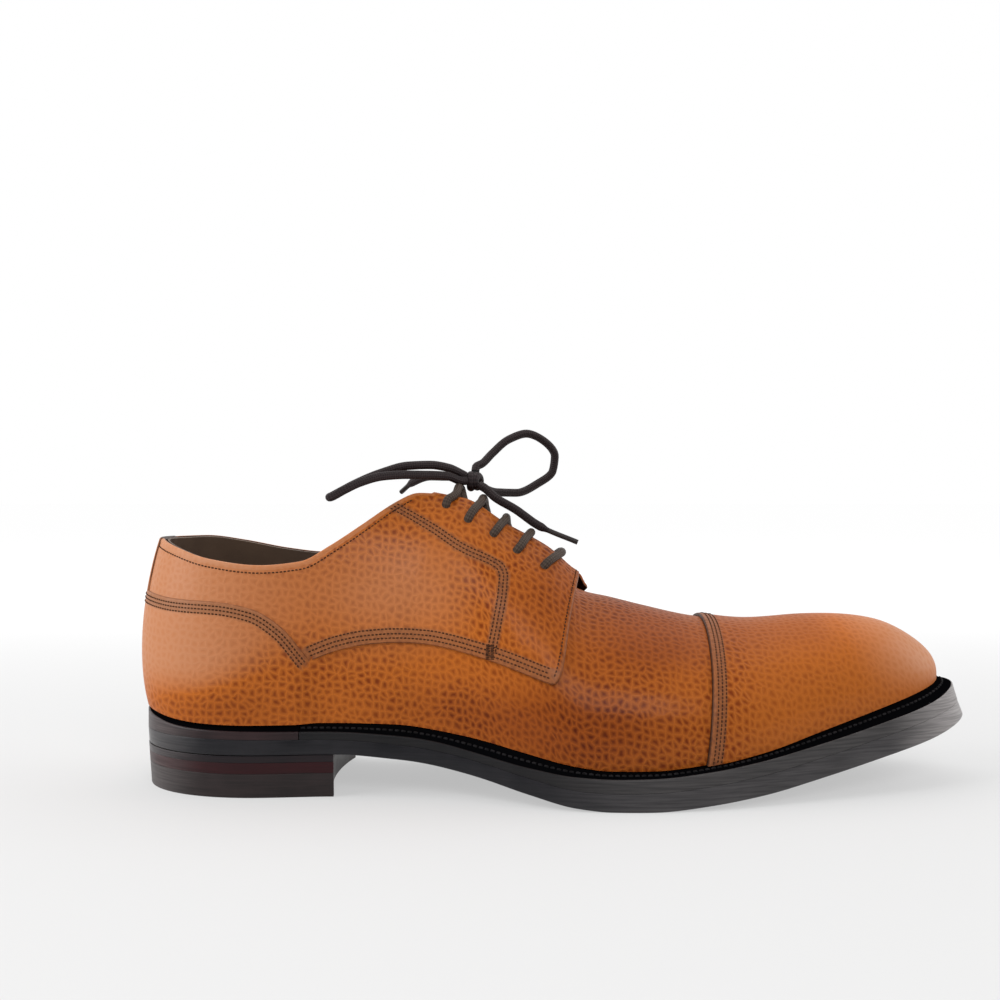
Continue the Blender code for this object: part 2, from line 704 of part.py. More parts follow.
def make_toe_cap():
    t = np.linspace(0, 1, 12)
    w = np.linspace(0, 1, 12)
    solid = Solid()
    for side in (OUTER, INNER):
        start = q_at(cap_seam_x(w))
        q = start[None, :] + (1 - start[None, :]) * t[:, None]
        inside = lifted(q, side, w[None, :], FIT_GAP)
        outside = lifted(q, side, w[None, :], FIT_GAP + CAP_THICK)
        solid.grid(outside)
        solid.grid(inside)
        solid.band(outside[0], inside[0])
        solid.band(outside[:, 0], inside[:, 0])
    return solid


def w_beside_ridge(q, side, distance):
    """w of the line at this distance from the ridge."""
    return w_where(q, side, lambda p, ridge: np.abs(p[..., 1] - ridge[..., 1]) < distance, 0.3)


def make_tongue():
    q = q_at(np.linspace(*TONGUE_X, 12))
    half = np.linspace(*TONGUE_HALF, 12)
    b = np.linspace(0, 1, 6)
    solid = Solid()
    for side in (OUTER, INNER):
        low = w_beside_ridge(q, side, half)
        w = low[:, None] + (1 - low[:, None]) * b[None, :]
        outside = lifted(q[:, None], side, w, -WALL - TONGUE_GAP)
        inside = lifted(q[:, None], side, w, -WALL - TONGUE_GAP - TONGUE_THICK)
        solid.grid(outside)
        solid.grid(inside)
        solid.band(outside[:, 0], inside[:, 0])
        solid.band(outside[0], inside[0])
        solid.band(outside[-1], inside[-1])
    return solid


def throat_point(x, across, lift):
    """A point over the throat: across is the distance from the ridge, outer side negative."""
    side = OUTER if across < 0 else INNER
    q = q_at(x)
    w = w_beside_ridge(q, side, abs(across)) if abs(across) > 0.01 else np.array(1.0)
    return lifted(q, side, w, lift)


def hole_across(x):
    from_edge = np.interp(x, HOLE_X, HOLE_FROM_EDGE)
    return float(throat_half(x) + from_edge)


def tube(points, radius, sides=LACE_SIDES):
    """A round cord along a line of points, with flat ends."""
    points = np.asarray(points, float)
    travel = np.gradient(points, axis=0)
    travel = travel / np.linalg.norm(travel, axis=1, keepdims=True)
    angle = np.arange(sides) * 2 * np.pi / sides
    rings = []
    sideways = np.cross(travel[0], [0.0, 0.0, 1.0])
    for point, heading in zip(points, travel):
        sideways = sideways - heading * np.dot(sideways, heading)
        sideways = sideways / np.linalg.norm(sideways)
        upward = np.cross(heading, sideways)
        rings.append(point + radius * (np.cos(angle)[:, None] * sideways + np.sin(angle)[:, None] * upward))
    solid = Solid()
    for first, second in zip(rings, rings[1:]):
        solid.band(np.concatenate([first, first[:1]]), np.concatenate([second, second[:1]]))
    solid.face(rings[0])
    solid.face(rings[-1])
    return solid


def bend(points, count):
    """A smooth line through a few points."""
    points = np.asarray(points, float)
    length = np.concatenate([[0], np.cumsum(np.linalg.norm(np.diff(points, axis=0), axis=1))])
    rows = [namedtuple("Row", "x a b c")(s, *p) for s, p in zip(length, points)]
    s = np.linspace(0, length[-1], count)
    return np.stack([smooth_curve(rows, name)(s) for name in "abc"], -1)


def crossing_strand(first, second, sign):
    """From above one hole, over the throat, to just past the ridge on the way to the next hole."""
    across = np.linspace(-hole_across(HOLE_X[first]), STRAND_PAST_RIDGE, 8)
    share = (across - across[0]) / (2 * -across[0])
    xs = HOLE_X[first] + (HOLE_X[second] - HOLE_X[first]) * share
    dip = STRAND_DIP * (1 - smoothstep(0.1, 0.95, np.abs(across) / throat_half(xs)))
    return [throat_point(x, sign * r, lace_lift(x, sign * r) - d) for x, r, d in zip(xs, across, dip)]


def facing_share(x, across):
    """How far up the quarter a point of the facing lies, from its lower edge to the throat."""
    side = OUTER if across < 0 else INNER
    q = q_at(x)
    low = seam_w(q, side)
    edge = edge_w(q, side, QUARTER_END_X, 0)
    w = w_beside_ridge(q, side, max(abs(across), 0.01))
    return float(np.clip((w - low) / (edge - low), 0, 1))


def lace_lift(x, across):
    """The lace's middle line lies on the quarters' facings."""
    stand = quarter_lift(x, facing_share(x, across)) + FIT_GAP * smoothstep(140, 156, x)
    return FIT_GAP + QUARTER_THICK + FIT_GAP + LACE_RADIUS + float(stand)


def make_lace_bar():
    x = HOLE_X[-1]
    across = np.linspace(-hole_across(x), hole_across(x), 11)
    return tube([throat_point(x, r, lace_lift(x, r)) for r in across], LACE_RADIUS)


def make_knot():
    """A small flattened ball of lace."""
    angle = np.linspace(0, 2 * np.pi, 13)
    rise = np.linspace(0, np.pi, 8)
    x = KNOT[0] + KNOT_SIZE[0] * np.sin(rise)[None, :] * np.cos(angle)[:, None]
    y = KNOT[1] + KNOT_SIZE[1] * np.sin(rise)[None, :] * np.sin(angle)[:, None]
    z = KNOT[2] + KNOT_SIZE[2] * np.cos(rise)[None, :] + 0 * angle[:, None]
    solid = Solid()
    solid.grid(np.stack([x, y, z], -1))
    return solid


def knot_exit(toward):
    """Where a cord leaves the knot: on its skin, and a little further out, square to it."""
    reach = (np.asarray(toward) - KNOT) / KNOT_SIZE
    spot = reach / np.linalg.norm(reach)
    normal = spot / KNOT_SIZE
    normal = normal / np.linalg.norm(normal)
    skin = KNOT + KNOT_SIZE * spot + normal * KNOT_CLEAR
    return [skin, skin + normal * KNOT_LEAD]


def bow_loop(points, count):
    """A loop of lace from the knot back to the knot."""
    ends = knot_exit(points[0]), knot_exit(points[-1])
    return tube(bend(ends[0] + points[1:-1] + ends[1][::-1], count), LACE_RADIUS)


def bow_end(points, count):
    """A free end of the lace."""
    return tube(bend(knot_exit(points[0]) + points[1:], count), LACE_RADIUS)


def join_pair(first, second):
    """Joins two crossing strands into one solid."""
    modifier = first.modifiers.new("join", "BOOLEAN")
    modifier.operation = "UNION"
    modifier.solver = "EXACT"
    modifier.object = second


def cut(item, cutter):
    modifier = item.modifiers.new("holes", "BOOLEAN")
    modifier.operation = "DIFFERENCE"
    modifier.solver = "EXACT"
    modifier.object = cutter


def hole_cutter_solid(side):
    """Five short rods through the facing, joined in one mesh."""
    joined = Solid()
    for x in HOLE_X:
        inner_end = throat_point(x, side * hole_across(x), -WALL - 1.2)
        outer_end = throat_point(x, side * hole_across(x), 9.0)
        rod = tube(np.linspace(inner_end, outer_end, 2), HOLE_RADIUS)
        for loop in rod.faces:
            joined.face([rod.corners[c] for c in loop])
    return joined


def as_cutter(item):
    item.hide_render = True
    item.display_type = "WIRE"
    return item


def all_solids():
    """Every sub-part by name, in millimetres."""
    solids = {
        "outsole": make_outsole(),
        "welt": make_welt(),
        "heel_rand": make_heel_rand(),
        "insole": make_insole(),
        "upper": make_upper(),
        "quarter_outer": make_quarter(OUTER),
        "quarter_inner": make_quarter(INNER),
        "toe_cap": make_toe_cap(),
        "tongue": make_tongue(),
        "lace_bar": make_lace_bar(),
    }
    for layer in HEEL_LAYERS:
        solids[layer.name] = make_heel_layer(*layer[1:])
    for i in range(len(HOLE_X) - 1):
        solids[f"lace_cross_{i + 1}"] = tube(crossing_strand(i, i + 1, 1), LACE_RADIUS)
    return solids


def cord_solids():
    return {
        "lace_knot": make_knot(),
        "lace_loop_inner": bow_loop(LOOP_INNER, 24),
        "lace_loop_outer": bow_loop(LOOP_OUTER, 28),
        "lace_end_outer": bow_end(END_OUTER, 11),
        "lace_end_inner": bow_end(END_INNER, 11),
    }


def material_for(name, materials):
    for key, material in materials.items():
        if name.startswith(key):
            return material
    return materials["upper"]


def main():
    global centre_shift
    clear_scene()
    parts = new_collection("cap_toe_shoe")
    cutters = new_collection("cutters")
    tan = new_material("tan_leather", (0.35, 0.12, 0.035), 0.5)
    materials = {
        "upper": tan,
        "quarter": tan,
        "toe_cap": tan,
        "tongue": new_material("tongue_leather", (0.10, 0.04, 0.02), 0.7),
        "insole": new_material("insole_leather", (0.16, 0.08, 0.04), 0.8),
        "welt": new_material("welt_leather", (0.02, 0.018, 0.018), 0.5),
        "outsole": new_material("sole_leather", (0.03, 0.028, 0.03), 0.45),
        "heel": new_material("heel_leather", (0.05, 0.025, 0.02), 0.5),
        "lace": new_material("lace_cord", (0.04, 0.018, 0.01), 0.6),
    }
    solids = all_solids()
    corners = np.concatenate([np.array(solid.corners) for solid in solids.values()])
    low, high = corners.min(axis=0), corners.max(axis=0)
    centre_shift = np.array([(low[0] + high[0]) / 2, (low[1] + high[1]) / 2, 0.0])
    solids.update(cord_solids())
    items = {}
    for name, solid in solids.items():
        items[name] = add_object(name, solid, material_for(name, materials), parts)
    for i in range(len(HOLE_X) - 1):
        strand = tube(crossing_strand(i, i + 1, -1), LACE_RADIUS)
        other = as_cutter(add_object(f"other_strand_{i + 1}", strand, None, cutters))
        join_pair(items[f"lace_cross_{i + 1}"], other)
    for side, name in ((OUTER, "quarter_outer"), (INNER, "quarter_inner")):
        cutter = as_cutter(add_object(f"holes_{name}", hole_cutter_solid(side), None, cutters))
        cut(items[name], cutter)
        cut(items["upper"], cutter)


main()
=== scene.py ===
# A tan cap toe derby shoe, a right shoe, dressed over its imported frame.
# Sizes are millimetres along the shoe: x from the back of the sole to the toe,
# y from the sole's axis to the inner side, z up from the floor.

from collections import namedtuple

import bmesh
import bpy
import numpy as np
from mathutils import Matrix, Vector


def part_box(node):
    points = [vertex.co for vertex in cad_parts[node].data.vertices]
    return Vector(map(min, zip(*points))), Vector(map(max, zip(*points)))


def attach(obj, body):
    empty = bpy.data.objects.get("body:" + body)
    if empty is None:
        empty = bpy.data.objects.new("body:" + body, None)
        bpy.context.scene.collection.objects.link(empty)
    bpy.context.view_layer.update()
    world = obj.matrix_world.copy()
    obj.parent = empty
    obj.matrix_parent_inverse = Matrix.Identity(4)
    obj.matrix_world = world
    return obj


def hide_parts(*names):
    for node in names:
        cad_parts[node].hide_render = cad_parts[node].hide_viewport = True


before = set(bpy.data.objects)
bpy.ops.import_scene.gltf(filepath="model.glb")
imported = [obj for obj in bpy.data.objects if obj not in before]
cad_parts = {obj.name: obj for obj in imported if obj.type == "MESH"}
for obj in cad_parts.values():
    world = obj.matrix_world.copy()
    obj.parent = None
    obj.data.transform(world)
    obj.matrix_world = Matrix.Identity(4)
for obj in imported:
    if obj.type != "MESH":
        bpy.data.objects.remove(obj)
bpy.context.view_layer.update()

MM = 0.001
OUTER = -1
INNER = 1
SIDES = (OUTER, INNER)
MERGE_DISTANCE = 1e-6
TINY = 1e-12
EDGE_SHARP = 32.0

# Small steps over the last's surface, and the ends that they stay inside
ALONG_STEP = 0.0004
UP_STEP = 0.001
Q_ENDS = (0.0005, 0.9985)
W_ENDS = (0.001, 0.999)
AT_END = 0.00001
NEAR_RIDGE = 0.9999

# Shares of the length where the heel's round end stops and the toe's begins
HEEL_Q = 0.25
TOE_Q = 0.75


def table(columns, *rows):
    """Rows of values with named columns."""
    row = namedtuple("Row", columns)
    return [row(*values) for values in rows]


# The photo's camera: level, square to the outer side
PHOTO_PIXELS = 1000
FOCAL_PIXELS = 1138.0
SENSOR = 36.0
CAMERA_PLACE = (132.6, -430.0, 104.0)

# Light of the surroundings, before and behind the shoe
WORLD_FRONT = 0.25
WORLD_BACK = 1.0
FLOOR_GLOW = (0.48, 0.80)
FLOOR_REACH = 30.0

# Lights in metres round the part: place, what they face, width and height, watts
LIGHTS = table(
    "name place target size power",
    ("overhead", (0.0, 0.30, 1.1), (0.0, 0.0, 0.05), (1.6, 1.0), 3.5),
    ("left_window", (-1.0, -0.30, 0.55), (0.0, 0.0, 0.05), (0.7, 0.9), 8.0),
    ("right_window", (1.1, 0.15, 0.5), (0.1, 0.0, 0.05), (0.6, 0.9), 4.0),
    ("front_fill", (0.25, -1.2, 0.9), (0.0, 0.0, 0.05), (0.8, 0.5), 7.0),
)

# Dyed leathers of the cut edges: piece, material, two colours, roughness
EDGE_LEATHERS = table(
    "piece name color second roughness",
    ("sole", "sole_edge", (0.007, 0.007, 0.009), (0.015, 0.014, 0.017), 0.34),
    ("welt", "welt_edge", (0.004, 0.004, 0.005), (0.010, 0.009, 0.010), 0.42),
    ("heel_rand", "rand_edge", (0.012, 0.006, 0.007), (0.030, 0.014, 0.015), 0.40),
    ("heel_top_piece", "heel_top_edge", (0.014, 0.010, 0.010), (0.028, 0.019, 0.019), 0.42),
    ("heel_lift_lower", "heel_lower_edge", (0.016, 0.0008, 0.002), (0.028, 0.0018, 0.0035), 0.5),
    ("heel_lift_upper", "heel_upper_edge", (0.006, 0.004, 0.006), (0.014, 0.008, 0.010), 0.40),
)

# Leather and thread
PEBBLE_SIZE = 2.7
PEBBLE_SPREAD = 0.66
PEBBLE_WARP = ((0.16, 2.6), (0.55, 0.7))
# Net and pit colours of the grain: partly the grain's own dye, partly painted shade in the pits and painted
# reflection on the raised net
LIGHT_TAN = (0.50, 0.134, 0.017)
CELL_BROWN = (0.185, 0.030, 0.0025)
BURNT_BROWN = (0.090, 0.0125, 0.0018)
# Pale colour of the painted highlight on the counter, the quarter and the toe; the fold band by the collar is
# mixed towards it too
PALE_TAN = (0.53, 0.245, 0.130)
SEWN_BROWN = (0.23, 0.105, 0.055)
LEATHER_GLOSS = 0.06
LEATHER_COAT = 0.10
# Dark brown of the painted shadow along the raised cut edges, also used for the painted shade inside
EDGE_SHADOW_BROWN = (0.036, 0.015, 0.009)
EDGE_GLOSS = 0.25
# Painted shadow: the welt's recessed top is painted black and its reflection turned off
LEDGE_SHADOW_BLACK = (0.002, 0.002, 0.0025)
# Grey on the sole edges: wear and painted sheen at the toe, painted sheen on the forepart and round the
# heel's back
WEAR_SHEEN_TOE_X = (268.0, 304.0)
SHEEN_BALL_X = (140.0, 190.0)
SHEEN_BACK = 0.18
SHEEN_BACK_X = (6.0, 30.0)
WEAR_SHEEN_GREY = (0.36, 0.335, 0.33)
STITCH_PITCH = 1.35
STITCH_LENGTH = 1.1
STITCH_RADIUS = 0.26
EDGE_ROLL = 1.0
EDGE_SHADOW_WIDTH = 0.55
EDGE_SHADOW_FADE = 0.4
EDGE_THIN = 0.35
SKIN_SUNK = 0.12
# Tone of the inside faces and cut rims: painted dark brown as shade
INSIDE_SHADE_TONE = (0.0, 0.6, 2.0)
FOXING_ROWS = (1.6, 2.9, 4.3)
FOXING_TIP = (60.0, 69.0)
FOXING_SHOWS = 0.55
FOXING_ROLL = 0.9
FOXING_SEWN = 5.2
STRAP_FOOT_Z = 73.0
VAMP_LEAST = 0.05
VAMP_INSIDE = 0.6
LINING_OUTSIDE = 0.7
QUARTER_ROWS = (1.7, 3.2, 4.9)
FACING_ROWS = (-1.4, 0.0, 1.4)
CAP_ROWS = (1.9, 3.3, 4.7)
CAP_ROW_TOP = 0.997
FRONT_ROW = 2.0
TACK_X = (127.9, 131.0)
TACK_Z = (48.8, 53.4)
TACK_COUNT = 9
TACK_STITCH = (1.6, 1.7, 0.24)
COLLAR_ROW = 2.9
COLLAR_ROW_END_X = 101.0
FOLD_WIDTH = 2.2
FOLD_FADE = 0.5
FOLD_PALE = 0.35
FOLD_END_X = 108.0
GROOVE_DEPTH = 0.14
GROOVE_WIDTH = 0.45
QUARTER_SEWN = 5.8
FRONT_SEWN = 1.4
FRONT_FADE = 0.8
FACING_SEWN = 2.6
CAP_SEWN = 5.6
CAP_SUNK_TO = 0.9
TONGUE_SEWN = 1.0
WELT_STITCH_AT = 0.5
WELT_PITCH = 2.2
WELT_THREAD = 0.42
AGLET_RADIUS = 0.95
AGLET_LENGTH = 13.6
LEAST_END = 30.5
LAYER_CLOSE = 0.14
EDGE_STEPS = 5
EDGE_RINGS = 2 * EDGE_STEPS + 2
FINE_ROUND = 0.16
HEEL_STEPS = 4
LEDGE_PAST_FOOT = 0.4
LACE_BRAID = 3.6
BAR_BOW = 4.5
IN_HOLE = 3.4
LACE_SUNK = 0.8

# Seam of the facing, down from the collar to the quarter's lower edge
FACING = table(
    "x height",
    (93.3, 101.3),
    (101.0, 97.3),
    (108.7, 93.0),
    (119.1, 86.3),
    (129.1, 81.6),
    (132.4, 79.2),
    (133.5, 76.0),
    (133.2, 70.4),
    (131.7, 60.8),
    (129.9, 51.2),
)

# Grain that is lost, and where: at the toe, on the cap, round the heel and at its back
GRAIN_LOSS = {"toe": 0.85, "cap": 0.42, "heel": 0.62, "back": 0.25}
SMOOTH_TOE_X = (258.0, 298.0)
SMOOTH_HEEL_X = (10.0, 66.0)
CAP_START_X = (214.0, 224.0)
SMOOTH_HEEL_Z = (30.0, 60.0)
SMOOTH_BACK_X = (0.0, 40.0)
TOE_SLANT = 0.35
TOE_SLANT_Z = 40.0

# Burnish over the instep and the cap's ridge, and a painted highlight that turns the counter and the toe pale
INSTEP_X = 188.0
INSTEP_REACH = 27.0
INSTEP_Z = (38.0, 53.0)
INSTEP_BURNISH = 1.1
RIDGE_Z = (46.0, 57.0)
RIDGE_FROM_X = (206.0, 222.0)
RIDGE_TO_X = (245.0, 262.0)
RIDGE_BURNISH = 0.5
COUNTER_X = (14.0, 78.0)
COUNTER_LOW = 28.0
COUNTER_RISE = 16.0
COUNTER_RISE_X = (24.0, 66.0)
COUNTER_FADE = 20.0
COUNTER_GLARE = 0.84
TOE_GLARE_Z = (32.0, 46.0)

# Soft round patches painted darker, paler below 0: the low ones paint shade on the lower vamp and counter,
# the pale one a painted highlight on the quarter. Place, reach along and up, strength
SHADE_AND_GLARE_PATCHES = table(
    "x z long tall strength",
    (158, 26, 32, 15, 1.25),
    (148, 70, 18, 18, 0.6),
    (112, 30, 26, 9, 0.5),
    (36, 30, 26, 9, 0.55),
    (94, 72, 32, 17, -0.42),
)

# Soft bending troughs: place, turn from upright, half width, half length, depth
CREASES = table(
    "x z turn width length depth",
    (176, 54, 18, 3.2, 16, 0.45),
    (186, 50, 12, 3.6, 18, 0.40),
    (166, 44, 26, 3.4, 12, 0.35),
    (146, 30, 62, 2.6, 12, 0.30),
    (128, 32, 70, 2.6, 12, 0.30),
)

# Overall sizes
SOLE_LENGTH = 308.0
SOLE_BACK_X = 1.0
TOE_SWING = 6.5
SWING_START = 100.0
FIT_GAP = 0.3

# Where the heel's round end and the toe's round end begin, and how full they are
HEEL_ROUND_X = 45.0
HEEL_ROUND = 2.05
FAN_X = 34.0
TOE_START_X = 238.0
TOE_ROUND = 2.35
TOE_TOP_ROUND = 2.85

# Upper
WALL = 1.6
QUARTER_THICK = 1.2
CAP_THICK = 1.2
FOXING_STEP = 2.2
V_POINT_X = 66.0
STRAP_HALF = 9.5
SEAM_CARRY_W = 0.40
SEAM_CARRY_X = (150.0, 200.0)
UPPER_HEEL_X = 3.2
UPPER_TOE_X = 296.6
THROAT_END_X = 158.0
THROAT_ROUND = 12.0
CORNER_ROUND = 0.012
CORNER_X = (90.0, 128.0)
THROAT_LOW_W = 0.3
QUARTER_FRONT_X = {OUTER: 158.5, INNER: 166.0}
QUARTER_END_X = 169.0
QUARTER_CORNER_X = 150.5
QUARTER_LIFT = 5.0
STAND_X = (126.0, 160.0)
STAND_EASE = 0.8
STAND_EASE_X = (160.0, 168.0)
STAND_ROWS = (0.22, 1.0)
QUARTER_BOW = 0.34
CAP_SEAM_X = 208.5
CAP_SEAM_SWEEP = 6.0
CAP_SEAM_BOW = -2.5

# Sole, welt and heel
WELT_END_X = 62.4
INSOLE_RIM = 6.0
INSOLE_INSET = 2.6
INSOLE_THICK = 2.0
EDGE_ROUND = 0.7
EDGE_STEP = 0.8
EDGE_FLUSH_Q = (0.05, 0.25)
HEEL_EDGE = (0.5, 0.2)
SOLE_LEAN = 1.2
WELT_LEAN = 3.0
HEEL_INSET = (1.4, 0.4)
HEEL_TOP = 14.7
BREAST_X = 74.3
BREAST_HOLLOW = 3.5

# Tongue
TONGUE_X = (107.0, 170.0)
TONGUE_HALF = (23.5, 20.0)
TONGUE_THICK = 2.0
TONGUE_GAP = 0.6

# Lace
LACE_RADIUS = 1.6
HOLE_X = (112.7, 120.7, 129.5, 137.7, 146.5)
HOLE_FROM_EDGE = (4.8, 8.5, 9.5, 11.2, 12.4)
KNOT = (122.8, 1.5, 111.1)
KNOT_SIZE = (3.6, 4.4, 3.9)
KNOT_CLEAR = 0.45
KNOT_LEAD = 2.0

# Heel layers from the floor up
HEEL_LAYERS = table(
    "name bottom top",
    ("heel_top_piece", 0.0, 8.3),
    ("heel_lift_lower", 8.6, 12.2),
    ("heel_lift_upper", 12.5, 14.7),
)

# Middle lines of the bow's loops and of the lace's ends: x, y, z
LOOP_INNER = [
    (123.2, 4.2, 115.0), (125.8, 7.0, 118.0), (129.4, 9.8, 121.8),
    (136.1, 13.0, 127.6), (143.1, 16.0, 130.0), (149.8, 19.6, 127.4),
    (154.4, 22.6, 121.4), (153.6, 23.4, 115.6), (148.0, 21.0, 110.8),
    (138.9, 14.8, 106.8), (131.0, 8.4, 107.0), (126.2, 4.4, 108.7)]
LOOP_OUTER = [
    (118.2, -1.0, 114.0), (113.4, -4.4, 116.0), (107.0, -7.6, 117.0),
    (98.8, -11.0, 116.6), (89.0, -14.6, 113.8), (80.8, -17.6, 110.2),
    (74.6, -19.4, 106.8), (71.6, -22.2, 105.0), (72.8, -25.6, 105.2),
    (77.0, -26.4, 107.4), (83.0, -24.0, 110.4), (90.5, -19.8, 112.6),
    (99.0, -15.6, 113.2), (106.5, -11.4, 113.2), (113.0, -7.4, 112.9),
    (118.4, -3.4, 111.2)]
END_OUTER = [
    (125.6, -2.6, 109.2), (131.0, -5.6, 104.8), (138.2, -6.6, 100.6),
    (147.1, -7.2, 94.4), (161.4, -8.0, 88.3)]
END_INNER = [
    (118.6, 4.4, 112.8), (112.0, 9.4, 113.0), (105.5, 14.4, 113.2),
    (98.5, 20.4, 111.2), (93.0, 26.4, 107.2)]

# Half widths of the sole's edge either side of its axis
PLAN = table(
    "x outer inner",
    (0, 34.5, 34.5),
    (45, 34.5, 34.5),
    (75, 32.5, 31.0),
    (100, 32.8, 28.2),
    (120, 37.6, 31.0),
    (140, 45.6, 38.7),
    (160, 51.8, 46.0),
    (180, 53.5, 49.5),
    (200, 51.8, 49.3),
    (220, 47.3, 46.3),
    (240, 41.2, 41.6),
    (270, 34.4, 34.8),
    (308, 30.5, 30.5),
)

# Heights along the sole: underside, top of the outsole, outer rim of the welt, foot of the upper
SIDE = table(
    "x under sole_top rim foot",
    (0, 15.0, 20.5, 28.4, 30.0),
    (8, 15.0, 20.5, 26.0, 28.5),
    (18, 15.0, 20.4, 24.2, 26.7),
    (28, 15.0, 20.3, 23.6, 25.8),
    (40, 15.0, 20.2, 23.3, 25.4),
    (76, 14.9, 19.8, 22.8, 25.2),
    (95, 13.4, 18.3, 21.6, 24.7),
    (110, 11.5, 16.5, 19.8, 23.0),
    (127, 8.2, 13.3, 16.3, 20.2),
    (143, 4.2, 9.6, 13.2, 16.7),
    (158, 1.0, 6.7, 11.3, 13.6),
    (170, 0.0, 5.9, 10.8, 12.3),
    (184, 0.0, 6.1, 11.0, 12.3),
    (206, 1.7, 8.0, 12.9, 14.3),
    (226, 4.2, 10.8, 15.8, 17.9),
    (248, 8.6, 15.4, 20.3, 24.0),
    (270, 13.4, 20.3, 25.4, 29.8),
    (290, 18.0, 25.0, 30.4, 35.2),
    (308, 23.4, 29.6, 37.4, 40.4),
)

# How far the foot of the upper stands inside the sole's edge
INSET = table(
    "x foot",
    (0, 2.6),
    (45, 3.0),
    (100, 3.6),
    (140, 5.0),
    (200, 5.6),
    (308, 6.5),
)

# Sections of the upper: ridge height and place, side bulge, rise and crown of its curve
SECTIONS = table(
    "x ridge middle bulge rise crown",
    (0, 121.0, 0.0, 8.0, 0.30, 0.82),
    (34, 118.0, 0.0, 5.5, 0.42, 0.84),
    (60, 116.0, 0.0, 4.0, 0.46, 0.86),
    (80, 113.5, 0.5, 3.5, 0.48, 0.82),
    (95, 111.0, 1.0, 4.0, 0.48, 0.78),
    (108, 109.2, 1.5, 4.2, 0.47, 0.72),
    (120, 106.2, 2.0, 4.4, 0.46, 0.66),
    (135, 94.9, 2.5, 4.6, 0.45, 0.60),
    (147, 84.9, 3.0, 4.8, 0.45, 0.57),
    (156, 74.8, 3.0, 5.0, 0.46, 0.56),
    (164, 69.5, 3.0, 5.0, 0.48, 0.57),
    (174, 67.2, 3.0, 5.0, 0.50, 0.57),
    (188, 63.7, 3.0, 5.0, 0.52, 0.58),
    (206, 59.8, 3.0, 4.6, 0.54, 0.60),
    (227, 57.6, 2.5, 4.0, 0.56, 0.62),
    (250, 59.2, 2.0, 3.4, 0.58, 0.64),
    (275, 60.4, 1.0, 3.0, 0.60, 0.66),
    (300, 55.0, 0.0, 3.0, 0.60, 0.66),
)

# Height of the collar's edge on both sides
COLLAR = table(
    "x outer inner",
    (3.2, 89.9, 89.9),
    (14, 87.0, 90.0),
    (30, 83.0, 88.0),
    (48, 80.9, 84.6),
    (62, 82.2, 83.2),
    (72, 87.6, 88.5),
    (83, 94.9, 95.8),
    (94, 102.4, 102.8),
    (103, 107.0, 107.2),
    (125, 116.0, 116.0),
)

# Half width of the open throat
THROAT = table(
    "x half",
    (100, 11.5),
    (120, 9.5),
    (160, 8.0),
)

# Seam between foxing or vamp below and quarter above, then a line carried on to the toe
SEAM = table(
    "x height",
    (3.2, 71.0),
    (18, 69.0),
    (34, 68.2),
    (46, 65.8),
    (56, 59.6),
    (66, 47.6),
    (76, 51.3),
    (86, 53.2),
    (96, 53.8),
    (106, 53.3),
    (126, 49.1),
    (150, 40.8),
)


def smooth_curve(rows, name):
    """Monotone cubic curve through one named column of a table."""
    xs = np.array([row.x for row in rows], float)
    ys = np.array([getattr(row, name) for row in rows], float)
    step = np.diff(xs)
    slope = np.diff(ys) / step
    tangent = np.concatenate([slope[:1], np.zeros(len(xs) - 2), slope[-1:]])
    for i in range(1, len(xs) - 1):
        if slope[i - 1] * slope[i] > 0:
            before = 2 * step[i] + step[i - 1]
            after = step[i] + 2 * step[i - 1]
            tangent[i] = (before + after) / (before / slope[i - 1] + after / slope[i])

    def value(x):
        x = np.clip(np.asarray(x, float), xs[0], xs[-1])
        i = np.clip(np.searchsorted(xs, x) - 1, 0, len(xs) - 2)
        t = (x - xs[i]) / step[i]
        start = (2 * t**3 - 3 * t**2 + 1) * ys[i] + (t**3 - 2 * t**2 + t) * step[i] * tangent[i]
        end = (3 * t**2 - 2 * t**3) * ys[i + 1] + (t**3 - t**2) * step[i] * tangent[i + 1]
        return start + end

    return value


half_width = {OUTER: smooth_curve(PLAN, "outer"), INNER: smooth_curve(PLAN, "inner")}
underside = smooth_curve(SIDE, "under")
sole_top = smooth_curve(SIDE, "sole_top")
welt_rim = smooth_curve(SIDE, "rim")
foot_height = smooth_curve(SIDE, "foot")
foot_inset = smooth_curve(INSET, "foot")
ridge_height = smooth_curve(SECTIONS, "ridge")
ridge_middle = smooth_curve(SECTIONS, "middle")
side_bulge = smooth_curve(SECTIONS, "bulge")
side_rise = smooth_curve(SECTIONS, "rise")
top_crown = smooth_curve(SECTIONS, "crown")
collar_height = {OUTER: smooth_curve(COLLAR, "outer"), INNER: smooth_curve(COLLAR, "inner")}
throat_half = smooth_curve(THROAT, "half")
seam_back = smooth_curve([row for row in SEAM if row.x <= V_POINT_X], "height")
seam_front = smooth_curve([row for row in SEAM if row.x >= V_POINT_X], "height")


def seam_height(x):
    return np.where(x < V_POINT_X, seam_back(x), seam_front(x))


def smoothstep(low, high, x):
    t = np.clip((np.asarray(x, float) - low) / (high - low), 0, 1)
    return t * t * (3 - 2 * t)


def unit(vectors):
    """Vectors drawn out to a length of 1."""
    return vectors / np.maximum(np.linalg.norm(vectors, axis=-1, keepdims=True), TINY)


def apart(points, others):
    """Distance of each point from its fellow."""
    return np.linalg.norm(points - others, axis=-1)


def run_length(points):
    """Length along a line up to each of its points."""
    return np.concatenate([[0], np.cumsum(np.linalg.norm(np.diff(points, axis=0), axis=-1))])


def floats(*values):
    """Arrays of one shape."""
    return np.broadcast_arrays(*[np.asarray(value, float) for value in values])


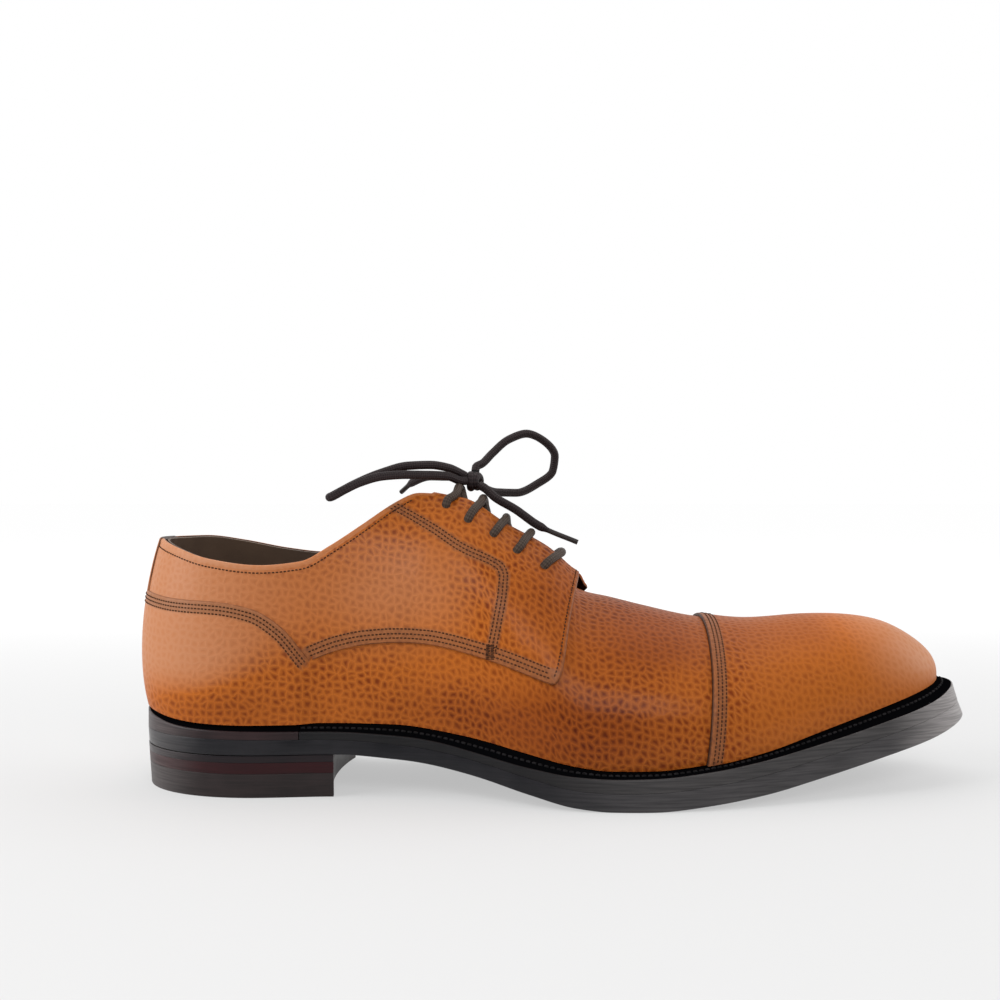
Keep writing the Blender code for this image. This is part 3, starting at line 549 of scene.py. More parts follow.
def axis_y(x):
    """The sole's axis swings to the inner side towards the toe."""
    swing = np.clip((np.asarray(x, float) - SWING_START) / (SOLE_LENGTH - SWING_START), 0, 1)
    return TOE_SWING * swing**2


def end_fullness(x, heel_x, toe_x, toe_round):
    """1 along the middle of the shoe, falling to 0 at the heel's back and the toe's tip."""
    heel = np.clip((HEEL_ROUND_X - x) / (HEEL_ROUND_X - heel_x), 0, 1)
    toe = np.clip((x - TOE_START_X) / (toe_x - TOE_START_X), 0, 1)
    return (1 - heel**HEEL_ROUND) ** (1 / HEEL_ROUND) * (1 - toe**toe_round) ** (1 / toe_round)


def station(q, heel_x, toe_x):
    """x for q from 0 at the heel's back to 1 at the toe's tip, closer together at both round ends."""
    q = np.asarray(q, float)
    heel = heel_x + (FAN_X - heel_x) * (1 - np.cos(np.clip(q / HEEL_Q, 0, 1) * np.pi / 2))
    middle = (TOE_START_X - FAN_X) * np.clip((q - HEEL_Q) / (TOE_Q - HEEL_Q), 0, 1)
    toe = (toe_x - TOE_START_X) * np.sin(np.clip((q - TOE_Q) / (1 - TOE_Q), 0, 1) * np.pi / 2)
    return heel + middle + toe


def upper_x(q):
    """x along the upper."""
    return station(q, UPPER_HEEL_X, UPPER_TOE_X)


def q_at(x):
    """The inverse of upper_x."""
    x = np.asarray(x, float)
    heel = np.arccos(np.clip(1 - (x - UPPER_HEEL_X) / (FAN_X - UPPER_HEEL_X), 0, 1)) / (np.pi / 2)
    middle = np.clip((x - FAN_X) / (TOE_START_X - FAN_X), 0, 1)
    toe = np.arcsin(np.clip((x - TOE_START_X) / (UPPER_TOE_X - TOE_START_X), 0, 1)) / (np.pi / 2)
    beyond = HEEL_Q + (TOE_Q - HEEL_Q) * middle + (1 - TOE_Q) * toe
    return np.where(x < FAN_X, heel * HEEL_Q, beyond)


def sole_edge(q, side, inset, lean=0.0):
    """x and y along the sole's edge, drawn in by inset, and by lean more at the toe."""
    toe_x = SOLE_LENGTH - inset - lean
    heel_x = SOLE_BACK_X + inset
    x = station(q, heel_x, toe_x)
    full = end_fullness(x, heel_x, toe_x, TOE_ROUND)
    return x, axis_y(x) + side * (half_width[side](x) - inset) * full


def foot_edge(q, side, inset, lean=0.0):
    """x and y along the foot of the upper, drawn in by inset."""
    toe_x = UPPER_TOE_X - inset - lean
    x = station(q, UPPER_HEEL_X + inset, toe_x)
    full = end_fullness(x, UPPER_HEEL_X + inset, toe_x, TOE_ROUND)
    return x, axis_y(x) + side * (half_width[side](x) - foot_inset(x) - inset) * full


def upper_point(q, side, w):
    """A point of the last's surface. q runs from heel to toe, w from the foot up to the ridge."""
    q, w = floats(q, w)
    x = upper_x(q)
    full = end_fullness(x, UPPER_HEEL_X, UPPER_TOE_X, TOE_ROUND)
    top_full = end_fullness(np.maximum(x, HEEL_ROUND_X), UPPER_HEEL_X, UPPER_TOE_X, TOE_TOP_ROUND)
    foot_y = axis_y(x) + side * (half_width[side](x) - foot_inset(x)) * full
    centre_x = np.maximum(x, FAN_X)
    centre_y = axis_y(x) + ridge_middle(x) * top_full
    reach_x = x - centre_x
    reach_y = foot_y - centre_y
    reach = np.maximum(np.hypot(reach_x, reach_y), 1e-6)
    foot = foot_height(x) + FIT_GAP
    top = foot + (ridge_height(x) - foot) * top_full
    b0 = (1 - w) ** 3
    b1 = 3 * w * (1 - w) ** 2
    b2 = 3 * w**2 * (1 - w)
    b3 = w**3
    out = b0 * reach + b1 * (reach + side_bulge(x) * top_full) + b2 * top_crown(x) * reach
    z = b0 * foot + b1 * (foot + side_rise(x) * (top - foot)) + (b2 + b3) * top
    return np.stack([centre_x + reach_x / reach * out, centre_y + reach_y / reach * out, z], -1)


def upper_normal(q, side, w):
    """The outward direction of the last's surface."""
    q, w = floats(q, w)
    q = np.clip(q, *Q_ENDS)
    w = np.clip(w, *W_ENDS)
    along = upper_point(q + ALONG_STEP, side, w) - upper_point(q - ALONG_STEP, side, w)
    upward = upper_point(q, side, w + UP_STEP) - upper_point(q, side, w - UP_STEP)
    return unit(np.cross(upward, along) * side)


def in_mid_plane(direction):
    """Turns a direction of travel in the plane of the shoe's length into the normal on its left."""
    return unit(np.stack([-direction[..., 2], np.zeros(direction.shape[:-1]), direction[..., 0]], -1))


def lifted(q, side, w, lift):
    """A point of the last's surface moved outward by lift, the same from both sides where they meet."""
    q, w, lift = floats(q, w, lift)
    normal = upper_normal(q, side, w)
    inside = np.clip(q, *Q_ENDS)
    ahead = upper_point(inside + ALONG_STEP, side, 1.0) - upper_point(inside - ALONG_STEP, side, 1.0)
    rising = np.clip(w, *W_ENDS)
    upward = upper_point(0.0, side, rising + UP_STEP) - upper_point(0.0, side, rising - UP_STEP)
    normal = np.where((w > 1 - AT_END)[..., None], in_mid_plane(ahead), normal)
    normal = np.where((q < AT_END)[..., None], in_mid_plane(upward), normal)
    normal = np.where((q > 1 - AT_END)[..., None], np.array([1.0, 0.0, 0.0]), normal)
    return upper_point(q, side, w) + normal * lift[..., None]


def w_where(q, side, reached, low=0.0):
    """The w at which reached(points, ridge points) first holds on each column."""
    q = np.asarray(q, float)
    low = np.full(q.shape, low)
    high = np.ones(q.shape)
    ridge = upper_point(q, side, 1.0)
    for _ in range(32):
        middle = (low + high) / 2
        done = reached(upper_point(q, side, middle), ridge)
        low = np.where(done, low, middle)
        high = np.where(done, middle, high)
    return high


def edge_w(q, side, throat_x, round_end):
    """w of the edge of the opening: the collar, then the throat, then the ridge."""
    x = upper_x(q)
    collar = w_where(q, side, lambda p, ridge: p[..., 2] > collar_height[side](x))
    tail = np.clip((x - throat_x + round_end) / max(round_end, 0.01), 0, 1)
    half = throat_half(x) * np.sqrt(1 - tail**2) if round_end else throat_half(x)
    throat = w_where(q, side, lambda p, ridge: np.abs(p[..., 1] - ridge[..., 1]) < half, THROAT_LOW_W)
    both = -np.log(np.exp(-collar / CORNER_ROUND) + np.exp(-throat / CORNER_ROUND)) * CORNER_ROUND
    edge = np.where(x < CORNER_X[0], collar, np.where(x > CORNER_X[1], throat, both))
    return np.where(x >= throat_x, 1.0, edge)


def seam_w(q, side):
    """w of the seam between foxing and quarter, carried on towards the toe."""
    x = upper_x(q)
    seam = w_where(q, side, lambda p, ridge: p[..., 2] > seam_height(x))
    return seam + (SEAM_CARRY_W - seam) * smoothstep(*SEAM_CARRY_X, x)


def edge_ring(edge, q, inset, height, lean=0.0):
    """Both sides of an edge line at this inset, at height(x)."""
    ring = {}
    for side in SIDES:
        x, y = edge(q, side, inset, lean)
        ring[side] = np.stack([x, y, height(x)], -1)
    return ring


def above(height, amount):
    return lambda x: height(x) + amount


def strap_q():
    """q of the edge of the back strap."""
    return STRAP_HALF / (FAN_X - UPPER_HEEL_X) / (np.pi / 2) * HEEL_Q


def foxing_lift(x):
    """The foxing stands proud of the quarters behind and runs into the vamp in front."""
    return FOXING_STEP * (1 - smoothstep(*FOXING_TIP, x))


def quarter_lift(x, b):
    """The quarters' front corners stand off the vamp."""
    stand = smoothstep(*STAND_X, x) * (1 - STAND_EASE * smoothstep(*STAND_EASE_X, x))
    return QUARTER_LIFT * stand * smoothstep(*STAND_ROWS, b)


def cap_seam_x(w):
    """The cap's seam runs straight across the ridge and sweeps back towards the foot."""
    return CAP_SEAM_X + CAP_SEAM_BOW * w * (1 - w) - CAP_SEAM_SWEEP * (1 - w) ** 2


def w_beside_ridge(q, side, distance):
    """w of the line at this distance from the ridge."""
    return w_where(q, side, lambda p, ridge: np.abs(p[..., 1] - ridge[..., 1]) < distance, THROAT_LOW_W)


def throat_point(x, across, lift):
    """A point over the throat: across is the distance from the ridge, outer side negative."""
    side = OUTER if across < 0 else INNER
    q = q_at(x)
    w = w_beside_ridge(q, side, abs(across)) if abs(across) > 0.01 else np.array(1.0)
    return lifted(q, side, w, lift)


def hole_across(x):
    from_edge = np.interp(x, HOLE_X, HOLE_FROM_EDGE)
    return float(throat_half(x) + from_edge)


def bend(points, count):
    """A smooth line through a few points."""
    points = np.asarray(points, float)
    length = run_length(points)
    rows = table("x a b c", *[(s, *p) for s, p in zip(length, points)])
    s = np.linspace(0, length[-1], count)
    return np.stack([smooth_curve(rows, name)(s) for name in "abc"], -1)


def knot_exit(toward):
    """Where a cord leaves the knot: on its skin, and a little further out, square to it."""
    reach = (np.asarray(toward) - KNOT) / KNOT_SIZE
    spot = unit(reach)
    normal = unit(spot / KNOT_SIZE)
    skin = KNOT + KNOT_SIZE * spot + normal * KNOT_CLEAR
    return [skin, skin + normal * KNOT_LEAD]


def origin_on_the_last():
    """Where the part's origin lies on the last, from the sole's place in the frame."""
    low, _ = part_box("outsole")
    outline = sole_edge(np.linspace(0, 1, 2000), OUTER, 0.0)
    return np.array([SOLE_BACK_X - low.x / MM, outline[1].min() - low.y / MM, 0.0])


ORIGIN = origin_on_the_last()


def to_row(points):
    """Millimetres on the last to metres in the part's frame."""
    return (np.asarray(points, float) - ORIGIN) * MM


def cells(rows, columns, start):
    """Corner numbers of the quads of a grid whose corners are numbered row by row."""
    corner = start + np.arange(rows * columns).reshape(rows, columns)
    return np.stack([corner[:-1, :-1], corner[1:, :-1], corner[1:, 1:], corner[:-1, 1:]], -1).reshape(-1, 4)


def ribbon(first, second):
    """Quads between two lines of corner numbers."""
    return np.stack([first[:-1], first[1:], second[1:], second[:-1]], -1)


def add_mesh(name, points, faces, material, fields=None, sharp=40.0, merge=True):
    """A mesh in the part's frame that rides on the part, with its fields kept on its corners."""
    mesh = bpy.data.meshes.new(name)
    mesh.from_pydata(to_row(points).tolist(), [], [list(map(int, face)) for face in faces])
    for field, values in (fields or {}).items():
        attribute = mesh.attributes.new(field, "FLOAT_VECTOR", "POINT")
        attribute.data.foreach_set("vector", np.asarray(values, np.float32).ravel())
    builder = bmesh.new()
    builder.from_mesh(mesh)
    if merge:
        bmesh.ops.remove_doubles(builder, verts=builder.verts, dist=MERGE_DISTANCE)
    bmesh.ops.recalc_face_normals(builder, faces=builder.faces)
    builder.to_mesh(mesh)
    builder.free()
    mesh.shade_smooth()
    mesh.set_sharp_from_angle(angle=np.radians(sharp))
    mesh.materials.append(material)
    item = bpy.data.objects.new(name, mesh)
    bpy.context.scene.collection.objects.link(item)
    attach(item, "root")
    return item


class Chart:
    """Flat coordinates of one side of the last: length along it, and length across from its ridge."""

    def __init__(self, side):
        self.side = side
        self.q = np.linspace(0, 1, 500)
        self.w = np.linspace(0, 1, 90)
        points = upper_point(self.q[:, None], side, self.w[None, :])
        up = np.linalg.norm(np.diff(points, axis=1), axis=-1)
        up = np.concatenate([np.zeros((len(self.q), 1)), np.cumsum(up, axis=1)], 1)
        self.across = up - up[:, -1:]
        self.along = run_length(points[:, 30])

    def at(self, q, w):
        q, w = floats(q, w)
        i = np.clip(q * (len(self.q) - 1), 0, len(self.q) - 1.001)
        j = np.clip(w * (len(self.w) - 1), 0, len(self.w) - 1.001)
        i0, j0 = i.astype(int), j.astype(int)
        fi, fj = i - i0, j - j0
        across = ((1 - fi) * (1 - fj) * self.across[i0, j0] + fi * (1 - fj) * self.across[i0 + 1, j0]
                  + (1 - fi) * fj * self.across[i0, j0 + 1] + fi * fj * self.across[i0 + 1, j0 + 1])
        return np.stack([np.interp(q, self.q, self.along), -self.side * across, np.zeros(q.shape)], -1)


def distance_to(points, path):
    """Distance from each point to the nearest point of a line."""
    shape = points.shape[:-1]
    flat = points.reshape(-1, 3)
    out = np.empty(len(flat))
    for start in range(0, len(flat), 4000):
        block = flat[start:start + 4000]
        out[start:start + 4000] = np.sqrt(((block[:, None] - path[None]) ** 2).sum(-1).min(1))
    return out.reshape(shape)


class Sheets:
    """Collects closed sheets, one a side, into one mesh whose sides merge where they meet."""

    def __init__(self):
        self.points = []
        self.faces = []
        self.chart = []
        self.tone = []
        self.count = 0

    def add(self, side, q, w, outside, inside, tone, open_top=False, closed_start=False, closed_end=False):
        chart = CHARTS[side].at(q, w)
        rows, columns = outside.shape[:2]
        size = rows * columns
        open_top = np.broadcast_to(open_top, rows)
        first = self.count + np.arange(size).reshape(rows, columns)
        second = first + size
        self.faces.append(cells(rows, columns, self.count))
        self.faces.append(cells(rows, columns, self.count + size)[:, ::-1])
        self.faces.append(ribbon(first[:, 0], second[:, 0]))
        opened = ribbon(first[:, -1], second[:, -1])
        self.faces.append(opened[open_top[:-1] | open_top[1:]])
        if not closed_start:
            self.faces.append(ribbon(first[0], second[0]))
        if not closed_end:
            self.faces.append(ribbon(first[-1], second[-1]))
        # Inside faces and the rims between take the painted dark shade
        for grid, shade in ((outside, tone), (inside, tone * 0 + INSIDE_SHADE_TONE)):
            self.points.append(grid.reshape(-1, 3))
            self.chart.append(chart.reshape(-1, 3))
            self.tone.append(shade.reshape(-1, 3))
        self.count += 2 * size

    def build(self, name, material, slot):
        points, faces = np.concatenate(self.points), np.concatenate(self.faces)
        fields = {"chart": np.concatenate(self.chart), "tone": np.concatenate(self.tone)}
        return add_mesh(name, points, faces, material, fields)


def edge_round(distance, radius):
    """0 at a cut edge, rising to 1 along a quarter circle."""
    return np.sqrt(np.clip(1 - (1 - np.clip(distance / radius, 0, 1)) ** 2, 0, 1))


def close_rows(count, length, finest):
    """Shares from 0 to 1, closer together at both ends."""
    t = np.linspace(0, 1, count)
    bent = 0.5 - 0.5 * np.cos(np.pi * t)
    mixed = 0.55 * bent + 0.45 * t
    return np.unique(np.concatenate([mixed, np.array([0.25, 0.5, 1.0]) * finest / length,
                                     1 - np.array([0.25, 0.5, 1.0]) * finest / length]))


def tone_field(points, seam):
    """Grain strength; burnish and painted shade, with a painted highlight below 0; and seam darkness, with
    painted edge shadow above 1; at each point.
    """
    x, z = points[..., 0], points[..., 2]
    toe = smoothstep(*SMOOTH_TOE_X, x + TOE_SLANT * (z - TOE_SLANT_Z))
    heel = 1 - smoothstep(*SMOOTH_HEEL_X, x)
    grain = 1 - GRAIN_LOSS["toe"] * toe - GRAIN_LOSS["cap"] * smoothstep(*CAP_START_X, x) * (1 - toe)
    grain = grain - GRAIN_LOSS["heel"] * heel * smoothstep(*SMOOTH_HEEL_Z, z)
    grain = grain - GRAIN_LOSS["back"] * (1 - smoothstep(*SMOOTH_BACK_X, x))
    instep = np.exp(-((x - INSTEP_X) / INSTEP_REACH) ** 2) * smoothstep(*INSTEP_Z, z)
    ridge = smoothstep(*RIDGE_Z, z) * smoothstep(*RIDGE_FROM_X, x) * (1 - smoothstep(*RIDGE_TO_X, x))
    # Painted highlight: the counter and the toe painted pale in place of glare
    low = COUNTER_LOW + COUNTER_RISE * smoothstep(*COUNTER_RISE_X, x)
    counter = (1 - smoothstep(*COUNTER_X, x)) * smoothstep(0, COUNTER_FADE, z - low)
    dark = INSTEP_BURNISH * instep + RIDGE_BURNISH * ridge - COUNTER_GLARE * counter
    dark = dark - toe * smoothstep(*TOE_GLARE_Z, z)
    # Round patches: painted shade low on the vamp and counter, and a painted highlight on the quarter
    for spot in SHADE_AND_GLARE_PATCHES:
        away = ((x - spot.x) / spot.long) ** 2 + ((z - spot.z) / spot.tall) ** 2
        dark = dark + spot.strength * np.exp(-away)
    return np.stack([np.clip(grain, 0, 1), np.clip(dark, -1, 1), np.clip(seam, 0, 2)], -1)


def band(distance, width, fade=0.9):
    """1 within a distance from a line, fading to 0."""
    return 1 - smoothstep(width - fade, width, distance)


def sewn_edge(distance, width, fade=0.9):
    """Seam darkness beside a sewn edge, and a painted shadow along its cut edge."""
    return band(distance, width, fade) + band(distance, EDGE_SHADOW_WIDTH, EDGE_SHADOW_FADE)


def rolled_skin(thick, to_edge):
    """Thickness of a layer that rolls down at its cut edge."""
    return thick * (EDGE_THIN + (1 - EDGE_THIN) * edge_round(to_edge, EDGE_ROLL))


def beside(side, q, w, distance):
    """The line moved across the last's surface by a distance, to its left for a positive one."""
    q, w = np.asarray(q, float), np.asarray(w, float)
    step = ALONG_STEP
    by_q = (upper_point(q + step, side, w) - upper_point(q - step, side, w)) / (2 * step)
    by_w = (upper_point(q, side, w + step) - upper_point(q, side, w - step)) / (2 * step)
    line = upper_point(q, side, w)
    across = np.cross(upper_normal(q, side, w), unit(np.gradient(line, axis=0))) * distance
    a, b, c = (by_q * by_q).sum(-1), (by_q * by_w).sum(-1), (by_w * by_w).sum(-1)
    d, e = (by_q * across).sum(-1), (by_w * across).sum(-1)
    whole = a * c - b * b
    return q + (c * d - b * e) / whole, w + (a * e - b * d) / whole


def even_steps(points, pitch):
    """Shares of a line's index at an even pitch along it."""
    length = run_length(points)
    count = max(int(length[-1] / pitch), 2)
    return np.interp((np.arange(count) + 0.5) * length[-1] / count, length, np.arange(len(points)))


def stitches_on(points, normals, pitch, length, radius):
    """Corners and faces of one row of thread stitches, each with its ends sunk in."""
    at = even_steps(points, pitch)
    index = np.arange(len(points))
    centre = np.stack([np.interp(at, index, points[:, k]) for k in range(3)], -1)
    normal = unit(np.stack([np.interp(at, index, normals[:, k]) for k in range(3)], -1))
    ahead = np.gradient(centre, axis=0)
    ahead = unit(ahead - normal * (ahead * normal).sum(1, keepdims=True))
    sideways = np.cross(normal, ahead)
    reach = np.array([-1.0, -0.72, 0.0, 0.72, 1.0]) * length / 2
    rise = np.array([-1.3, -0.1, 0.25, -0.1, -1.3]) * radius
    girth = np.array([0.55, 0.9, 1.0, 0.9, 0.55]) * radius
    angle = np.arange(6) * np.pi / 3
    ring = (centre[:, None, None] + ahead[:, None, None] * reach[None, :, None, None]
            + normal[:, None, None] * (rise[:, None] + girth[:, None] * np.sin(angle))[None, :, :, None]
            + sideways[:, None, None] * (girth[:, None] * np.cos(angle))[None, :, :, None])
    rings = len(reach)
    corner = np.arange(len(centre) * rings * 6).reshape(len(centre), rings, 6)
    following = np.roll(corner, -1, axis=2)
    quads = np.stack([corner[:, :-1], corner[:, 1:], following[:, 1:], following[:, :-1]], -1).reshape(-1, 4)
    caps = np.concatenate([corner[:, 0], corner[:, -1, ::-1]])
    return ring.reshape(-1, 3), [list(f) for f in quads] + [list(f) for f in caps]


class Thread:
    """Collects stitch rows into one mesh."""

    def __init__(self):
        self.points = []
        self.faces = []
        self.count = 0

    def row(self, side, q, w, lift, pitch=STITCH_PITCH, length=STITCH_LENGTH, radius=STITCH_RADIUS):
        self.line(lifted(q, side, w, lift), upper_normal(q, side, w), pitch, length, radius)

    def line(self, points, normals, pitch, length, radius):
        corners, faces = stitches_on(points, normals, pitch, length, radius)
        self.points.append(corners)
        self.faces += [[c + self.count for c in face] for face in faces]
        self.count += len(corners)

    def build(self, name, material, slot):
        return add_mesh(name, np.concatenate(self.points), self.faces, material, merge=False)


def columns_along(heel, middle, toe):
    """q from heel to toe, with so many places in the heel's round end, the middle and the toe."""
    return np.concatenate([np.linspace(0, HEEL_Q, heel), np.linspace(HEEL_Q, TOE_Q, middle)[1:],
                           np.linspace(TOE_Q, 1, toe)[1:]])


def vamp_columns():
    """Columns of the vamp, closer together at the edge of the back strap."""
    strap = strap_q()
    return np.unique(np.concatenate([columns_along(40, 130, 40), np.linspace(strap * 0.82, strap * 1.3, 12)]))


def vamp_top(q, side):
    """w of the vamp's upper edge: back strap, foxing's edge, then under the quarter to the throat."""
    x = upper_x(q)
    seam = seam_w(q, side)
    edge = edge_w(q, side, THROAT_END_X, THROAT_ROUND)
    strap = 1 - smoothstep(strap_q() * 0.95, strap_q() * 1.22, q)
    under = smoothstep(V_POINT_X, V_POINT_X + 6, x)
    return seam + (edge - seam) * np.maximum(strap, under)


def crease_lift(points):
    """Soft bending troughs across the vamp, and the fold at the waist."""
    lift = np.zeros(points.shape[:-1])
    for crease in CREASES:
        turn = np.radians(crease.turn)
        x, z = points[..., 0] - crease.x, points[..., 2] - crease.z
        along = x * np.cos(turn) + z * np.sin(turn)
        across = z * np.cos(turn) - x * np.sin(turn)
        lift = lift - crease.depth * np.exp(-(along / crease.width) ** 2 - (across / crease.length) ** 2)
    return lift


def make_vamp(material):
    q = vamp_columns()
    x = upper_x(q)
    share = close_rows(42, 60, 1.2)
    sheets = Sheets()
    for side in SIDES:
        top = vamp_top(q, side)
        w = top[:, None] * share[None, :]
        flat = upper_point(q[:, None], side, w)
        cut = top < NEAR_RIDGE
        to_edge = np.where(cut[:, None], apart(flat, flat[:, -1:]), 9.0)
        seam = SEAM_LINES["foxing", side]
        behind = x[:, None] < V_POINT_X
        proud = foxing_lift(x)[:, None] - FOXING_ROLL * (1 - edge_round(to_edge, FOXING_ROLL)) * behind
        outside = lifted(q[:, None], side, w, np.maximum(proud + crease_lift(flat), VAMP_LEAST))
        inside = lifted(q[:, None], side, w, -VAMP_INSIDE)
        to_seam = distance_to(outside, seam)
        ends = 1 - smoothstep(-0.8, 0.0, x[:, None] - V_POINT_X - 0.6 + 0.8 * to_seam)
        sewn = sewn_edge(to_seam, FOXING_SEWN) * ends
        # Painted shadow along the foxing's raised cut edge
        edge_shadow = 2 * band(to_edge, EDGE_SHADOW_WIDTH, EDGE_SHADOW_FADE) * behind
        sewn = np.where(flat[..., 2] < STRAP_FOOT_Z, sewn, edge_shadow)
        tone = tone_field(outside, sewn)
        sheets.add(side, q[:, None], w, outside, inside, tone, cut, True, True)
    item = sheets.build("vamp", material, "tan_leather")
    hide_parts("upper")


def make_lining(material):
    q = vamp_columns()[::2]
    q = np.append(q, 1.0) if q[-1] < 1 else q
    share = np.linspace(0, 1, 26)
    sheets = Sheets()
    for side in SIDES:
        edge = edge_w(q, side, THROAT_END_X, THROAT_ROUND)
        w = edge[:, None] * share[None, :]
        outside = lifted(q[:, None], side, w, -LINING_OUTSIDE)
        inside = lifted(q[:, None], side, w, -WALL)
        tone = np.zeros(outside.shape)
        sheets.add(side, q[:, None], w, outside, inside, tone, edge < NEAR_RIDGE, True, True)
    sheets.build("lining", material, "insole_leather")


def quarter_grid(side, columns, rows):
    """q, w, b of the quarter's grid: columns from the back strap to the front, rows from the seam up."""
    b = rows
    front_x = QUARTER_CORNER_X + (QUARTER_FRONT_X[side] - QUARTER_CORNER_X) * b**QUARTER_BOW
    start = strap_q() * 0.97
    q = start + (q_at(front_x)[None, :] - start) * columns[:, None]
    low = seam_w(q, side)
    x = upper_x(q)
    low = low - 0.05 * (1 - smoothstep(V_POINT_X - 4, V_POINT_X + 1, x))
    edge = edge_w(q, side, QUARTER_END_X, 0)
    return q, low + (edge - low) * b[None, :], np.broadcast_to(b[None, :], q.shape)


def quarter_line(side, column=None, row=None, count=160):
    """q and w along one edge of the quarter."""
    t = np.linspace(0, 1, count)
    if row is None:
        q, w, _ = quarter_grid(side, np.array([column]), t)
        return q[0], w[0]
    q, w, _ = quarter_grid(side, t, np.array([row]))
    return q[:, 0], w[:, 0]


def quarter_drop(q, side, w):
    """How far the quarter sinks to pass under the foxing's point."""
    x = upper_x(q)
    needed = np.maximum(FIT_GAP + QUARTER_THICK + FOXING_SHOWS - foxing_lift(x), 0)
    close = 1 - smoothstep(0.0, 0.07, np.abs(w - seam_w(q, side)))
    return needed * close * (1 - smoothstep(V_POINT_X - 0.5, V_POINT_X + 3.0, x))


def quarter_base(q, side, w, b):
    """The lift of the quarter's inner face."""
    x = upper_x(q)
    return FIT_GAP * (1 + smoothstep(140, 156, x)) + quarter_lift(x, b) - quarter_drop(q, side, w)


def quarter_top(q, side, w):
    """The lift of the quarter's outer face at a point of the last."""
    low = seam_w(q, side)
    edge = edge_w(q, side, QUARTER_END_X, 0)
    share = np.clip((w - low) / np.maximum(edge - low, 1e-6), 0, 1)
    return QUARTER_THICK + quarter_base(q, side, w, share)


def make_quarter(side, material):
    columns = close_rows(190, 150, 1.0)
    rows = close_rows(60, 48, 1.0)
    q, w, b = quarter_grid(side, columns, rows)
    x = upper_x(q)
    flat = upper_point(q, side, w)
    to_top = apart(flat, flat[:, -1:])
    to_edge = np.minimum.reduce([apart(flat, flat[:, :1]), to_top, apart(flat, flat[-1:])])
    lift = quarter_base(q, side, w, b)
    groove = GROOVE_DEPTH * np.exp(-((to_top - FOLD_WIDTH) / GROOVE_WIDTH) ** 2) * (x < FOLD_END_X)
    outside = lifted(q, side, w, lift + rolled_skin(QUARTER_THICK, to_edge) - groove)
    inside = lifted(q, side, w, lift - SKIN_SUNK)
    names = ("collar", "quarter_low", "quarter_front", "facing")
    to_collar, to_low, to_front, to_facing = [distance_to(outside, SEAM_LINES[name, side]) for name in names]
    sewn = np.maximum.reduce([sewn_edge(to_low, QUARTER_SEWN), sewn_edge(to_front, FRONT_SEWN, FRONT_FADE),
                              band(to_facing, FACING_SEWN)])
    tone = tone_field(outside, sewn)
    fold = band(to_collar, FOLD_WIDTH, FOLD_FADE) * (x < FOLD_END_X)
    tone[..., 0] = tone[..., 0] * (1 - fold)
    tone[..., 1] = np.clip(tone[..., 1] - FOLD_PALE * fold, -1, 1)
    sheets = Sheets()
    sheets.add(side, q, w, outside, inside, tone, open_top=True)
    name = "quarter_outer" if side == OUTER else "quarter_inner"
    item = sheets.build(name + "_skin", material, "tan_leather")
    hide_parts(name)


def make_toe_cap(material):
    t = close_rows(110, 110, 1.0)
    w = np.linspace(0, 1, 56)
    start = q_at(cap_seam_x(w))
    sheets = Sheets()
    for side in SIDES:
        q = start[None, :] + (1 - start[None, :]) * t[:, None]
        wide = np.broadcast_to(w[None, :], q.shape)
        flat = upper_point(q, side, wide)
        to_edge = apart(flat, flat[:1])
        outside = lifted(q, side, wide, FIT_GAP + rolled_skin(CAP_THICK, to_edge))
        inside = lifted(q, side, wide, FIT_GAP - SKIN_SUNK * (t[:, None] < CAP_SUNK_TO))
        tone = tone_field(outside, sewn_edge(to_edge, CAP_SEWN))
        sheets.add(side, q, wide, outside, inside, tone, closed_end=True)
    item = sheets.build("toe_cap_skin", material, "tan_leather")
    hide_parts("toe_cap")


def make_tongue(material):
    q = q_at(np.linspace(*TONGUE_X, 60))
    half = np.linspace(*TONGUE_HALF, 60)
    share = np.linspace(0, 1, 24)
    sheets = Sheets()
    for side in SIDES:
        low = w_beside_ridge(q, side, half)
        w = low[:, None] + (1 - low[:, None]) * share[None, :]
        flat = upper_point(q[:, None], side, w)
        to_edge = np.minimum(apart(flat, flat[:, :1]), apart(flat, flat[:1]))
        rolled = edge_round(to_edge, EDGE_ROLL)
        outside = lifted(q[:, None], side, w, -WALL - TONGUE_GAP - 0.7 * (1 - rolled))
        inside = lifted(q[:, None], side, w, -WALL - TONGUE_GAP - TONGUE_THICK + 0.5 * (1 - rolled))
        tone = tone_field(outside, band(to_edge, TONGUE_SEWN))
        sheets.add(side, q[:, None], w, outside, inside, tone)
    item = sheets.build("tongue_skin", material, "tongue_leather")
    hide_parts("tongue")


def seam_lines():
    """The lines that the sewn edges follow, as points on the last."""
    lines = {}
    for side in SIDES:
        q = np.linspace(strap_q(), float(q_at(V_POINT_X)), 120)
        lines["foxing", side] = lifted(q, side, seam_w(q, side), foxing_lift(upper_x(q)))
        q, w = quarter_line(side, row=0.0)
        forward = upper_x(q) > V_POINT_X
        on_quarter = {"quarter_low": (q[forward], w[forward]), "collar": quarter_line(side, row=1.0),
                      "quarter_front": quarter_line(side, column=1.0), "facing": facing_line(side)}
        for name, (q, w) in on_quarter.items():
            lines[name, side] = lifted(q, side, w, quarter_top(q, side, w))
    return lines


def facing_line(side):
    """q and w along the seam that holds the facing."""
    s = np.linspace(0, 1, len(FACING))
    fine = np.linspace(0, 1, 140)
    rows = table("x at height", *[(a, f.x, f.height) for a, f in zip(s, FACING)])
    x = smooth_curve(rows, "at")(fine)
    z = smooth_curve(rows, "height")(fine)
    q = q_at(x)
    return q, w_where(q, side, lambda p, ridge: p[..., 2] > z)


